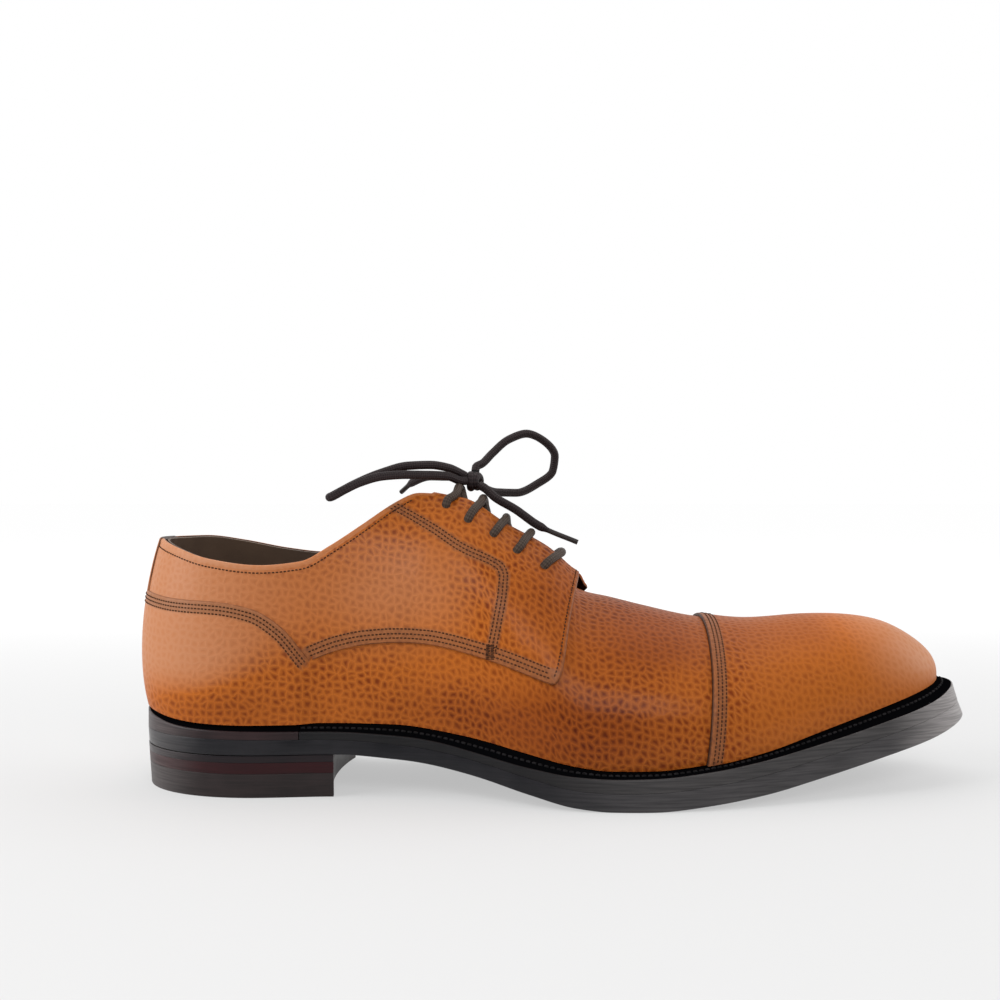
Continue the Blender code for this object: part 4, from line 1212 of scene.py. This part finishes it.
def sew_beside(thread, side, q, w, distance, lift, kept=None):
    """A stitch row at a distance from a line, over the points that kept picks out."""
    q, w = beside(side, q, w, distance)
    if kept is not None:
        on_it = kept(q, w)
        q, w = q[on_it], w[on_it]
    thread.row(side, q, w, lift(q, side, w))


def sew_foxing(thread, side):
    q = np.linspace(strap_q() * 0.06, float(q_at(V_POINT_X - 0.4)), 150)
    w = seam_w(q, side)
    past = np.arange(1, 24)
    q = np.append(q, q[-1] + (q[-1] - q[-2]) * past)
    w = np.append(w, w[-1] + (w[-1] - w[-2]) * past)
    for gap in FOXING_ROWS:
        sew_beside(thread, side, q, w, gap * side, lambda q, side, w: foxing_lift(upper_x(q)),
                   lambda q, w: upper_x(q) < V_POINT_X + 0.4 - 0.9 * gap)


def sew_quarter(thread, side):
    q, w = quarter_line(side, row=0.0)
    forward = upper_x(q) > V_POINT_X + 0.6
    for gap in QUARTER_ROWS:
        sew_beside(thread, side, q[forward], w[forward], -gap * side, quarter_top,
                   lambda q, w: upper_x(q) < QUARTER_CORNER_X - 0.6)
    q, w = quarter_line(side, column=1.0)
    sew_beside(thread, side, q[4:-3], w[4:-3], -FRONT_ROW * side, quarter_top)
    q, w = quarter_line(side, row=1.0)
    sew_beside(thread, side, q[2:-3], w[2:-3], COLLAR_ROW * side, quarter_top,
               lambda q, w: upper_x(q) < COLLAR_ROW_END_X)
    q, w = facing_line(side)
    for gap in FACING_ROWS:
        sew_beside(thread, side, q, w, gap, quarter_top,
                   lambda q, w: w < edge_w(q, side, QUARTER_END_X, 0) - 0.012)


def sew_cap(thread, side):
    w = np.linspace(0.0, 1.0, 120)
    q = q_at(cap_seam_x(w))
    for gap in CAP_ROWS:
        sew_beside(thread, side, q, w, gap * side, lambda q, side, w: FIT_GAP + CAP_THICK,
                   lambda q, w: (w > 0) & (w < CAP_ROW_TOP))


def sew_tack(thread, side):
    """A close block of stitches where the facing's seam meets the quarter's lower edge."""
    q = q_at(np.linspace(*TACK_X, 8))
    for z in np.linspace(*TACK_Z, TACK_COUNT):
        w = w_where(q, side, lambda p, ridge: p[..., 2] > z)
        thread.row(side, q, w, quarter_top(q, side, w), *TACK_STITCH)


def sew_upper(material):
    for side, name in ((OUTER, "outer"), (INNER, "inner")):
        thread = Thread()
        sew_foxing(thread, side)
        sew_quarter(thread, side)
        sew_cap(thread, side)
        sew_tack(thread, side)
        thread.build("stitching_" + name, material, "tan_leather")


def edge_piece(name, grid, faces, wear_sheen, ledge, material):
    """A piece of sole leather, charted along its edge and up, its ledge painted black as shade and its ends
    painted grey, partly wear and partly painted sheen.
    """
    chart, tone = np.zeros(grid.shape), np.zeros(grid.shape)
    chart[..., 0] = run_length(grid[:, 0 if ledge is None else 1])[:, None]
    chart[..., 1] = grid[..., 2]
    tone[..., 0] = wear_sheen + SHEEN_BACK * (1 - smoothstep(*SHEEN_BACK_X, grid[..., 0]))
    if ledge is not None:
        tone[:, ledge:, 1] = 1.0
    fields = {"chart": chart.reshape(-1, 3), "tone": tone.reshape(-1, 3)}
    return add_mesh(name, grid.reshape(-1, 3), faces, material, fields, EDGE_SHARP)


def stacked_rings(name, rings, material, heel_first=None):
    """A plate, or an open strip swept round the shoe, through rings of edge points."""
    lines = []
    for ring in rings:
        if heel_first is None:
            lines.append(np.concatenate([ring[OUTER], ring[INNER][::-1]]))
        elif heel_first:
            lines.append(np.concatenate([ring[OUTER][::-1], ring[INNER][1:]]))
        else:
            lines.append(np.concatenate([ring[OUTER], ring[INNER][::-1][1:]]))
    grid = np.stack(lines, 1)
    rows, columns = grid.shape[:2]
    corner = np.arange(rows * columns).reshape(rows, columns)
    faces = [cells(rows, columns, 0)]
    if heel_first is None:
        half = rows // 2
        for line in (corner[:, 0], corner[:, -1]):
            faces.append(ribbon(line[:half], line[half:][::-1]))
    else:
        faces.append(ribbon(corner[:, -1], corner[:, 0]))
    faces = [list(f) for group in faces for f in group]
    if heel_first is not None:
        faces += [list(corner[0]), list(corner[-1])]
    # Grey of wear and painted sheen at the toe, painted sheen on the forepart
    wear_sheen = 0.85 * smoothstep(*WEAR_SHEEN_TOE_X, grid[..., 0]) + 0.15 * smoothstep(*SHEEN_BALL_X, grid[..., 0])
    return edge_piece(name, grid, faces, wear_sheen, EDGE_RINGS - 1, material)


def corner_steps(steps):
    """A rounded corner step by step, as shares of its radius: back from the side, and up."""
    turn = np.linspace(0, np.pi / 2, steps + 1)
    return list(zip(1 - np.sin(turn), 1 - np.cos(turn)))


def rounded_edge(q, low, high, leans, insets, rounds):
    """Rings up the sole's edge from one height to another, with both corners rounded."""
    rings = []
    for back, up in corner_steps(EDGE_STEPS):
        height = above(low, rounds[0] * up)
        rings.append(edge_ring(sole_edge, q, insets[0] + rounds[0] * back, height, leans[0]))
    for down, back in corner_steps(EDGE_STEPS):
        height = above(high, -rounds[1] * down)
        rings.append(edge_ring(sole_edge, q, insets[1] + rounds[1] * back, height, leans[1]))
    return rings


def sole_columns(start=0.0, end=1.0):
    q = columns_along(50, 150, 60)
    inner = q[(q > start) & (q < end)]
    return np.concatenate([[start], inner, [end]])


def sole_inset(q):
    """The outsole's side draws in round the heel."""
    return HEEL_EDGE[0] * (1 - smoothstep(*EDGE_FLUSH_Q, q))


def step_inset(q):
    """The strip above the outsole steps in, but is nearly flush round the heel."""
    return HEEL_EDGE[1] + (EDGE_STEP - HEEL_EDGE[1]) * smoothstep(*EDGE_FLUSH_Q, q)


def make_sole(materials):
    q = sole_columns()
    rings = rounded_edge(q, underside, above(sole_top, LAYER_CLOSE), (0.0, SOLE_LEAN),
                         (sole_inset(q), step_inset(q)), (EDGE_ROUND, FINE_ROUND))
    outsole = stacked_rings("outsole_edge", rings, materials["sole"])
    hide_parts("outsole")
    for name, start, end in (("welt", float(q_at(WELT_END_X)), 1.0),
                             ("heel_rand", 0.0, float(q_at(WELT_END_X - FIT_GAP)))):
        q = sole_columns(start, end)
        rings = rounded_edge(q, above(sole_top, FIT_GAP - LAYER_CLOSE), welt_rim, (SOLE_LEAN, WELT_LEAN),
                             (step_inset(q), step_inset(q)), (FINE_ROUND, EDGE_ROUND))
        rings.append(edge_ring(foot_edge, q, -LEDGE_PAST_FOOT, foot_height))
        rings.append(edge_ring(foot_edge, q, INSOLE_RIM, foot_height))
        rings.append(edge_ring(foot_edge, q, INSOLE_RIM, above(sole_top, FIT_GAP)))
        piece = stacked_rings(name + "_strip", rings, materials[name], name == "heel_rand")
        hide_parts(name)
    q = sole_columns()
    rings = [
        edge_ring(foot_edge, q, INSOLE_RIM + FIT_GAP, above(sole_top, FIT_GAP)),
        edge_ring(foot_edge, q, INSOLE_RIM + FIT_GAP, above(foot_height, FIT_GAP)),
        edge_ring(foot_edge, q, INSOLE_INSET, above(foot_height, FIT_GAP)),
        edge_ring(foot_edge, q, INSOLE_INSET, above(foot_height, FIT_GAP + INSOLE_THICK * 0.7)),
        edge_ring(foot_edge, q, INSOLE_INSET + 0.6, above(foot_height, FIT_GAP + INSOLE_THICK)),
    ]
    sock = stacked_rings("sock", rings, materials["lining"])
    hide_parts("insole")


def heel_inset(height):
    """The heel draws in a little towards the floor."""
    return float(np.interp(height, [0, HEEL_TOP], HEEL_INSET))


def heel_rows(inset, breast_x, height):
    """The heel's outline at one height: round the back, then along the hollow breast."""
    line = []
    for side in SIDES:
        q = np.concatenate([np.linspace(0, HEEL_Q, 40), np.linspace(HEEL_Q, float(q_at(breast_x)), 18)[1:]])
        x, y = sole_edge(q, side, inset)
        line.append(np.stack([x, y, np.full(len(x), height)], -1))
    corner = line[1][-1][1]
    y = np.linspace(corner, line[0][-1][1], 26)[1:-1]
    x = breast_x - BREAST_HOLLOW * (1 - (y / corner) ** 2)
    return np.concatenate([line[0][::-1], line[1][1:], np.stack([x, y, np.full(len(y), height)], -1)])


def make_heel(materials):
    for layer in HEEL_LAYERS:
        bottom = layer.bottom - LAYER_CLOSE * (layer.bottom > 0)
        top = layer.top + LAYER_CLOSE
        steps = corner_steps(HEEL_STEPS)
        levels = [(FINE_ROUND * back, bottom + FINE_ROUND * up) for back, up in steps]
        levels += [(FINE_ROUND * back, top - FINE_ROUND * down) for down, back in steps]
        rows = [heel_rows(heel_inset(height) + back, BREAST_X - back, height) for back, height in levels]
        grid = np.stack([np.concatenate([row, row[:1]]) for row in rows], 1)
        count, columns = grid.shape[:2]
        corner = np.arange(count * columns).reshape(count, columns)
        faces = [list(f) for f in cells(count, columns, 0)]
        faces += [list(corner[:-1, 0]), list(corner[:-1, -1])]
        material = materials[layer.name]
        piece = edge_piece(layer.name + "_edge", grid, faces, 0.0, None, material)
        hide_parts(layer.name)


def sew_welt(material):
    thread = Thread()
    q = np.linspace(float(q_at(WELT_END_X)), 0.997, 500)
    for side in SIDES:
        outer = edge_ring(sole_edge, q, EDGE_STEP + EDGE_ROUND, welt_rim, WELT_LEAN)[side]
        inner = edge_ring(foot_edge, q, -LEDGE_PAST_FOOT, foot_height)[side]
        line = outer + (inner - outer) * WELT_STITCH_AT
        ahead = np.gradient(line, axis=0)
        normal = unit(np.cross(inner - outer, ahead) * -side)
        normal = np.where(normal[:, 2:] < 0, -normal, normal)
        thread.line(line, normal, WELT_PITCH, WELT_PITCH * 0.86, WELT_THREAD)
    thread.build("welt_stitching", material, "welt_leather")


def cord_tube(points, radius, sides=12):
    """A lace along a line of points, with domed ends."""
    points = np.asarray(points, float)
    travel = unit(np.gradient(points, axis=0))
    angle = np.arange(sides) * 2 * np.pi / sides
    girth = np.asarray(radius, float) * np.ones(len(points))
    rings, chart = [], []
    sideways = np.cross(travel[0], [0.0, 0.0, 1.0])
    for point, heading, r, s in zip(points, travel, girth, run_length(points)):
        sideways = unit(sideways - heading * np.dot(sideways, heading))
        upward = np.cross(heading, sideways)
        rings.append(point + r * (np.cos(angle)[:, None] * sideways + np.sin(angle)[:, None] * upward))
        chart.append(np.stack([np.full(sides, s), angle * LACE_RADIUS, np.zeros(sides)], -1))
    corner = np.arange(len(points) * sides).reshape(len(points), sides)
    following = np.roll(corner, -1, axis=1)
    quads = np.stack([corner[:-1], corner[1:], following[1:], following[:-1]], -1).reshape(-1, 4)
    faces = [list(f) for f in quads] + [list(corner[0]), list(corner[-1])]
    return np.concatenate(rings), faces, np.concatenate(chart)


def join_cords(name, cords, material):
    """Several lace tubes as one piece."""
    points, faces, chart, count = [], [], [], 0
    for corners, polygons, flat in cords:
        points.append(corners)
        faces += [[c + count for c in polygon] for polygon in polygons]
        chart.append(flat)
        count += len(corners)
    chart = np.concatenate(chart)
    fields = {"chart": chart, "tone": np.zeros(chart.shape)}
    return add_mesh(name, np.concatenate(points), faces, material, fields, 50.0, merge=False)


def facing_top(x, across):
    """Lift of the facing's outer face at a distance from the ridge."""
    side = OUTER if across < 0 else INNER
    q = q_at(x)
    return float(quarter_top(q, side, w_beside_ridge(q, side, max(abs(across), 0.01))))


def strand(first, second, sign):
    """A strand from inside one hole, over the facing and the throat, to under the other facing's edge."""
    x0, x1 = HOLE_X[first], HOLE_X[second]
    wide0 = hole_across(x0)
    half0, half1 = float(throat_half(x0)), float(throat_half(x1))
    rest = LACE_RADIUS * LACE_SUNK
    on_facing = [(0.0, -wide0, -IN_HOLE), (0.0, -wide0 + 0.1, 0.2), (0.08, -wide0 + 1.5, rest),
                 (0.23, -(wide0 + half0) / 2, rest), (0.40, -half0 - 0.3, rest)]
    over_throat = [(0.48, -half0 * 0.5, 2.4), (0.57, 0.0, 1.0 + 0.5 * sign), (0.70, half1 * 0.55, 0.3),
                   (0.85, half1 + 0.4, -0.4)]
    points = []
    for share, across, lift in on_facing:
        x = x0 + (x1 - x0) * share
        points.append(throat_point(x, sign * across, lift + facing_top(x, sign * across)))
    for share, across, lift in over_throat:
        points.append(throat_point(x0 + (x1 - x0) * share, sign * across, lift))
    return bend(points, 44)


def make_lacing(material):
    for i in range(len(HOLE_X) - 1):
        pair = [cord_tube(strand(i, i + 1, sign), LACE_RADIUS) for sign in (1, -1)]
        piece = join_cords(f"lace_crossing_{i + 1}", pair, material)
        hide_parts(f"lace_cross_{i + 1}")
    wide, half = hole_across(HOLE_X[-1]), float(throat_half(HOLE_X[-1]))
    rest = LACE_RADIUS * LACE_SUNK
    stops = [(-wide, -IN_HOLE), (-wide + 0.1, 0.2), (-wide + 1.5, rest), (-(wide + half) / 2, rest),
             (-half, rest), (0.0, 0.6)]
    stops = stops + [(-a, lift) for a, lift in stops[-2::-1]]
    points = []
    for across, lift in stops:
        x = HOLE_X[-1] + BAR_BOW * (1 - (across / wide) ** 2)
        points.append(throat_point(x, across, lift + facing_top(x, across)))
    piece = join_cords("lace_lowest_bar", [cord_tube(bend(points, 60), LACE_RADIUS)], material)
    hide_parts("lace_bar")


def make_bow(lace, tip):
    ends = {"lace_loop_inner": LOOP_INNER, "lace_loop_outer": LOOP_OUTER,
            "lace_end_inner": END_INNER, "lace_end_outer": END_OUTER}
    for node, points in ends.items():
        loop = "loop" in node
        if loop:
            first, last = knot_exit(points[0]), knot_exit(points[-1])
            line = bend(first + list(points[1:-1]) + last[::-1], 90)
        else:
            line = bend(knot_exit(points[0]) + list(points[1:]), 60)
        if not loop:
            steps = run_length(line)
            split = int(np.searchsorted(steps, max(steps[-1] - AGLET_LENGTH, LEAST_END)))
            aglet = join_cords(node + "_aglet", [cord_tube(line[split:], AGLET_RADIUS)], tip)
            line = line[:split + 2]
        girth = LACE_RADIUS * (1 - 0.4 * smoothstep(0.9, 1.0, np.linspace(0, 1, len(line))) * (not loop))
        piece = join_cords(node + "_cord", [cord_tube(line, girth)], lace)
        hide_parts(node)
        path = to_row(line)
    turns = []
    for k, (lean, size) in enumerate(((0.0, 1.0), (0.9, 0.86))):
        angle = np.linspace(0, 2 * np.pi, 48)
        y = KNOT[1] + (KNOT_SIZE[1] - LACE_RADIUS) * size * np.cos(angle)
        z = KNOT[2] + (KNOT_SIZE[2] - LACE_RADIUS) * size * np.sin(angle)
        x = KNOT[0] + (2.4 * k - 1.2) + lean * np.cos(angle)
        turns.append(cord_tube(np.stack([x, y, z], -1), LACE_RADIUS))
    piece = join_cords("lace_bow_knot", turns, lace)
    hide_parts("lace_knot")


class Graph:
    """A material's nodes, made and joined in one call each."""

    def __init__(self, name):
        self.material = bpy.data.materials.new(name)
        self.material.use_nodes = True
        self.tree = self.material.node_tree
        self.shader = self.tree.nodes["Principled BSDF"]

    def node(self, kind, inputs=None, **settings):
        made = self.tree.nodes.new("ShaderNode" + kind)
        for key, value in settings.items():
            setattr(made, key, value)
        for key, value in (inputs or {}).items():
            self.put(made.inputs[key], value)
        return made

    def put(self, socket, value):
        if isinstance(value, bpy.types.NodeSocket):
            self.tree.links.new(value, socket)
        else:
            socket.default_value = value

    def math(self, operation, first, second=0.0, clamp=False):
        return self.node("Math", {0: first, 1: second}, operation=operation, use_clamp=clamp).outputs[0]

    def times(self, first, second):
        return self.math("MULTIPLY", first, second)

    def plus(self, first, second):
        return self.math("ADD", first, second)

    def place(self):
        return self.node("TexCoord").outputs["Object"]

    def cell(self, inputs, feature, output):
        return self.node("TexVoronoi", inputs, feature=feature, voronoi_dimensions="2D").outputs[output]

    def ramp(self, value, low, high, start=0.0, end=1.0):
        made = self.node("MapRange", {"Value": value, "From Min": low, "From Max": high, "To Min": start,
                                      "To Max": end}, interpolation_type="SMOOTHSTEP")
        return made.outputs["Result"]

    def mix(self, factor, first, second):
        made = self.node("Mix", data_type="RGBA", clamp_factor=True)
        self.put(made.inputs["Factor"], factor)
        for socket, value in ((made.inputs[6], first), (made.inputs[7], second)):
            self.put(socket, value if isinstance(value, bpy.types.NodeSocket) else (*value, 1.0))
        return made.outputs[2]

    def field(self, name):
        return self.node("Attribute", attribute_name=name, attribute_type="GEOMETRY").outputs["Vector"]

    def parts(self, vector):
        return self.node("SeparateXYZ", {0: vector}).outputs

    def noise(self, vector, scale, detail=2.0, roughness=0.5):
        inputs = {"Vector": vector, "Scale": scale, "Detail": detail, "Roughness": roughness}
        return self.node("TexNoise", inputs).outputs["Fac"]

    def finish(self, color, roughness, height=None, distance=0.0002, strength=1.0, **sockets):
        self.put(self.shader.inputs["Base Color"], color)
        self.put(self.shader.inputs["Roughness"], roughness)
        if height is not None:
            bump = self.node("Bump", {"Height": height, "Distance": distance, "Strength": strength})
            self.put(self.shader.inputs["Normal"], bump.outputs["Normal"])
        for key, value in sockets.items():
            self.put(self.shader.inputs[key.replace("_", " ")], value)
        return self.material


def pebbled_leather(name, light, cell, burnt, pale, sewn):
    """Tan leather with a pebble grain: soft dark pits in a paler net, partly dye in the grain and partly
    painted shade and reflection, darker still under burnish and painted shade.
    """
    g = Graph(name)
    chart = g.field("chart")
    grain, dark, seam = g.parts(g.field("tone"))[:3]
    place = g.place()
    warped = chart
    for scale, reach in PEBBLE_WARP:
        drift = g.node("TexNoise", {"Vector": chart, "Scale": scale, "Detail": 2.0}).outputs["Color"]
        moved = g.node("VectorMath", {0: drift, 1: (0.5, 0.5, 0.5)}, operation="SUBTRACT").outputs[0]
        moved = g.node("VectorMath", {0: moved, 3: reach}, operation="SCALE").outputs[0]
        warped = g.node("VectorMath", {0: warped, 1: moved}, operation="ADD").outputs[0]
    pebble = {"Vector": warped, "Scale": 1 / PEBBLE_SIZE, "Randomness": PEBBLE_SPREAD}
    edge = g.cell(pebble, "DISTANCE_TO_EDGE", "Distance")
    middle = g.cell({**pebble, "Smoothness": 0.25}, "SMOOTH_F1", "Distance")
    own = g.parts(g.cell(pebble, "F1", "Color"))[0]
    inner = g.plus(g.ramp(edge, 0.0, 0.12, 0.0, 0.40), g.ramp(edge, 0.10, 0.46, 0.0, 0.60))
    inner = g.times(inner, g.ramp(middle, 0.10, 0.70, 1.0, 0.6))
    patch = g.noise(place, 26.0, 3.0)
    broad = g.noise(place, 11.0, 2.0)
    fine = g.noise(warped, 2.2, 3.0)
    strength = g.times(grain, g.ramp(patch, 0.30, 0.70, 0.45, 0.9))
    filled = g.times(inner, strength)
    filled = g.times(filled, g.ramp(own, 0.0, 1.0, 0.95, 1.25))
    # Darkening of net and pits: burnish on the instep and ridge, painted shade low on the sides and on the
    # inside faces
    burn_and_shade = g.math("MAXIMUM", dark, 0.0)
    # Painted highlight, with the paler fold band: it washes out the pits and turns the colour pale
    fade = g.math("MAXIMUM", g.times(dark, -1.0), 0.0)
    filled = g.times(filled, g.ramp(fade, 0.0, 0.7, 1.0, 0.45))
    net = g.mix(g.ramp(broad, 0.3, 0.7), light, tuple(0.84 * c for c in light))
    net = g.mix(g.times(burn_and_shade, 0.62), net, cell)
    pit = g.mix(burn_and_shade, cell, burnt)
    # Dark pits in a paler net: partly dye, partly painted shade in the pits and painted reflection on the net
    color = g.mix(filled, net, pit)
    color = g.mix(g.times(fade, g.ramp(inner, 0.0, 1.0, 0.95, 0.75)), color, pale)
    color = g.mix(g.times(g.math("MINIMUM", seam, 1.0), 0.55), color, sewn)
    # Above 1 the seam channel paints the dark brown of edge shadow and inside shade
    color = g.mix(g.math("SUBTRACT", seam, 1.0, True), color, EDGE_SHADOW_BROWN)
    height = g.times(g.math("SUBTRACT", 1.0, inner), strength)
    height = g.plus(height, g.times(fine, 0.22))
    roughness = g.ramp(g.plus(inner, g.times(fine, 0.3)), 0.0, 1.3, 0.46, 0.60)
    return g.finish(color, roughness, height, 0.00026, 1.0, Specular_IOR_Level=LEATHER_GLOSS,
                    Coat_Weight=LEATHER_COAT, Coat_Roughness=0.20)


def edge_leather(name, color, second, roughness, streak=0.5):
    """Dyed and waxed sole leather seen on its cut edge: fine level streaks, a grey that is partly wear and
    partly painted sheen, and a ledge painted black as shade.
    """
    g = Graph(name)
    along, up, _ = g.parts(g.field("chart"))[:3]
    streaks = {0: g.times(along, 0.05), 1: g.times(up, 1.4), 2: 0.0}
    lines = g.noise(g.node("CombineXYZ", streaks).outputs[0], 1.0, 4.0, 0.6)
    place = g.place()
    cloud = g.noise(place, 60.0, 3.0)
    mixed = g.plus(g.times(lines, streak), g.times(cloud, 1 - streak))
    shade = g.mix(g.ramp(mixed, 0.35, 0.65), color, second)
    wear_sheen, ledge = g.parts(g.field("tone"))[:2]
    # Grey of wear and painted sheen
    shade = g.mix(g.times(wear_sheen, g.ramp(lines, 0.3, 0.7, 0.5, 1.0)), shade, WEAR_SHEEN_GREY)
    # The welt's ledge painted black as shade, with its reflection taken away
    shade = g.mix(g.ramp(ledge, 0.0, 0.5), shade, LEDGE_SHADOW_BLACK)
    gloss = g.ramp(ledge, 0.0, 0.4, EDGE_GLOSS, 0.0)
    fine = g.noise(place, 900.0, 2.0)
    height = g.plus(g.times(lines, 0.6), g.times(fine, 0.2))
    rough = g.ramp(cloud, 0.3, 0.7, roughness - 0.06, roughness + 0.1)
    return g.finish(shade, rough, height, 0.00008, 0.6, Specular_IOR_Level=gloss)


def smooth_lining(name, color, second):
    g = Graph(name)
    place = g.place()
    cloud = g.noise(place, 40.0, 4.0)
    fine = g.noise(place, 1500.0, 2.0)
    return g.finish(g.mix(g.ramp(cloud, 0.3, 0.7), color, second), 0.62, fine, 0.00006, 0.5)


def braided_lace(name, color, second):
    """Waxed round lace with a fine braid."""
    g = Graph(name)
    along, around, _ = g.parts(g.field("chart"))[:3]
    up = g.math("SINE", g.times(g.plus(along, around), LACE_BRAID))
    down = g.math("SINE", g.times(g.math("SUBTRACT", along, around), LACE_BRAID))
    weave = g.times(up, down)
    shade = g.mix(g.ramp(weave, -0.6, 0.8), color, second)
    return g.finish(shade, 0.6, weave, 0.00012, 0.7, Specular_IOR_Level=0.2)


def plain_thread(name, color, second):
    g = Graph(name)
    place = g.place()
    speck = g.noise(place, 700.0, 1.0)
    return g.finish(g.mix(g.ramp(speck, 0.35, 0.65), color, second), 0.8, Specular_IOR_Level=0.1)


def make_stage():
    """A large pale floor that glows, dimmer on the camera's side and brighter far behind; its glow lights the
    shoe from below and fills in the shoe's shadow.
    """
    mesh = bpy.data.meshes.new("studio_floor")
    reach = FLOOR_REACH
    corners = [(-reach, -reach, 0), (reach, -reach, 0), (reach, reach, 0), (-reach, reach, 0)]
    mesh.from_pydata(corners, [], [(0, 1, 2, 3)])
    floor = bpy.data.objects.new("studio_floor", mesh)
    bpy.context.scene.collection.objects.link(floor)
    g = Graph("studio_white")
    away = g.parts(g.place())[1]
    near, far = FLOOR_GLOW
    glow = g.plus(g.ramp(away, -1.6, -0.22, 0.22, near), g.ramp(away, 0.0, 0.9, 0.0, far - near))
    mesh.materials.append(g.finish((0.30, 0.30, 0.30, 1.0), 0.9, Emission_Color=(1.0, 1.0, 1.0, 1.0),
                                   Emission_Strength=glow, Specular_IOR_Level=0.0))


def add_light(name, place, target, size, power):
    light = bpy.data.lights.new(name, "AREA")
    light.shape = "RECTANGLE"
    light.size, light.size_y = size
    light.energy = power
    item = bpy.data.objects.new(name, light)
    item.location = place
    item.rotation_euler = (Vector(target) - Vector(place)).to_track_quat("-Z", "Y").to_euler()
    bpy.context.scene.collection.objects.link(item)


def make_lights():
    scene = bpy.context.scene
    scene.view_settings.view_transform = "Standard"
    world = bpy.data.worlds.new("studio")
    world.use_nodes = True
    nodes, links = world.node_tree.nodes, world.node_tree.links
    place = nodes.new("ShaderNodeTexCoord")
    split = nodes.new("ShaderNodeSeparateXYZ")
    spread = nodes.new("ShaderNodeMapRange")
    limits = {"From Min": -0.6, "From Max": 0.5, "To Min": WORLD_FRONT, "To Max": WORLD_BACK}
    for socket, value in limits.items():
        spread.inputs[socket].default_value = value
    links.new(place.outputs["Generated"], split.inputs[0])
    links.new(split.outputs["Y"], spread.inputs["Value"])
    links.new(spread.outputs["Result"], nodes["Background"].inputs["Strength"])
    nodes["Background"].inputs["Color"].default_value = (1.0, 1.0, 1.0, 1.0)
    scene.world = world
    for light in LIGHTS:
        add_light(*light)


def make_camera():
    """The photo's view: level, square to the shoe's outer side."""
    data = bpy.data.cameras.new("camera")
    data.sensor_width = SENSOR
    data.lens = FOCAL_PIXELS * SENSOR / PHOTO_PIXELS
    camera = bpy.data.objects.new("camera", data)
    camera.location = to_row(CAMERA_PLACE)
    camera.rotation_euler = (np.pi / 2, 0.0, 0.0)
    bpy.context.scene.collection.objects.link(camera)
    bpy.context.scene.camera = camera


make_camera()
TAN = pebbled_leather("tan_leather", LIGHT_TAN, CELL_BROWN, BURNT_BROWN, PALE_TAN, SEWN_BROWN)
LINING = smooth_lining("lining_leather", (0.085, 0.050, 0.032), (0.13, 0.080, 0.050))
THREAD = plain_thread("upper_thread", (0.045, 0.017, 0.008), (0.080, 0.032, 0.016))
BLACK_THREAD = plain_thread("welt_thread", (0.006, 0.0055, 0.006), (0.014, 0.013, 0.014))
LACE = braided_lace("waxed_lace", (0.014, 0.009, 0.010), (0.034, 0.022, 0.022))
WORN_LACE = braided_lace("worn_lace", (0.038, 0.025, 0.018), (0.080, 0.055, 0.041))
AGLET = edge_leather("lace_tip", (0.012, 0.009, 0.009), (0.03, 0.022, 0.02), 0.4)
SOLE = {row.piece: edge_leather(*row[1:]) for row in EDGE_LEATHERS}
SOLE["lining"] = LINING
CHARTS = {side: Chart(side) for side in SIDES}
SEAM_LINES = seam_lines()
make_bow(LACE, AGLET)
make_lacing(WORN_LACE)
make_vamp(TAN)
make_lining(LINING)
make_quarter(OUTER, TAN)
make_quarter(INNER, TAN)
make_toe_cap(TAN)
make_tongue(TAN)
sew_upper(THREAD)
make_sole(SOLE)
make_heel(SOLE)
sew_welt(BLACK_THREAD)
make_stage()
make_lights()
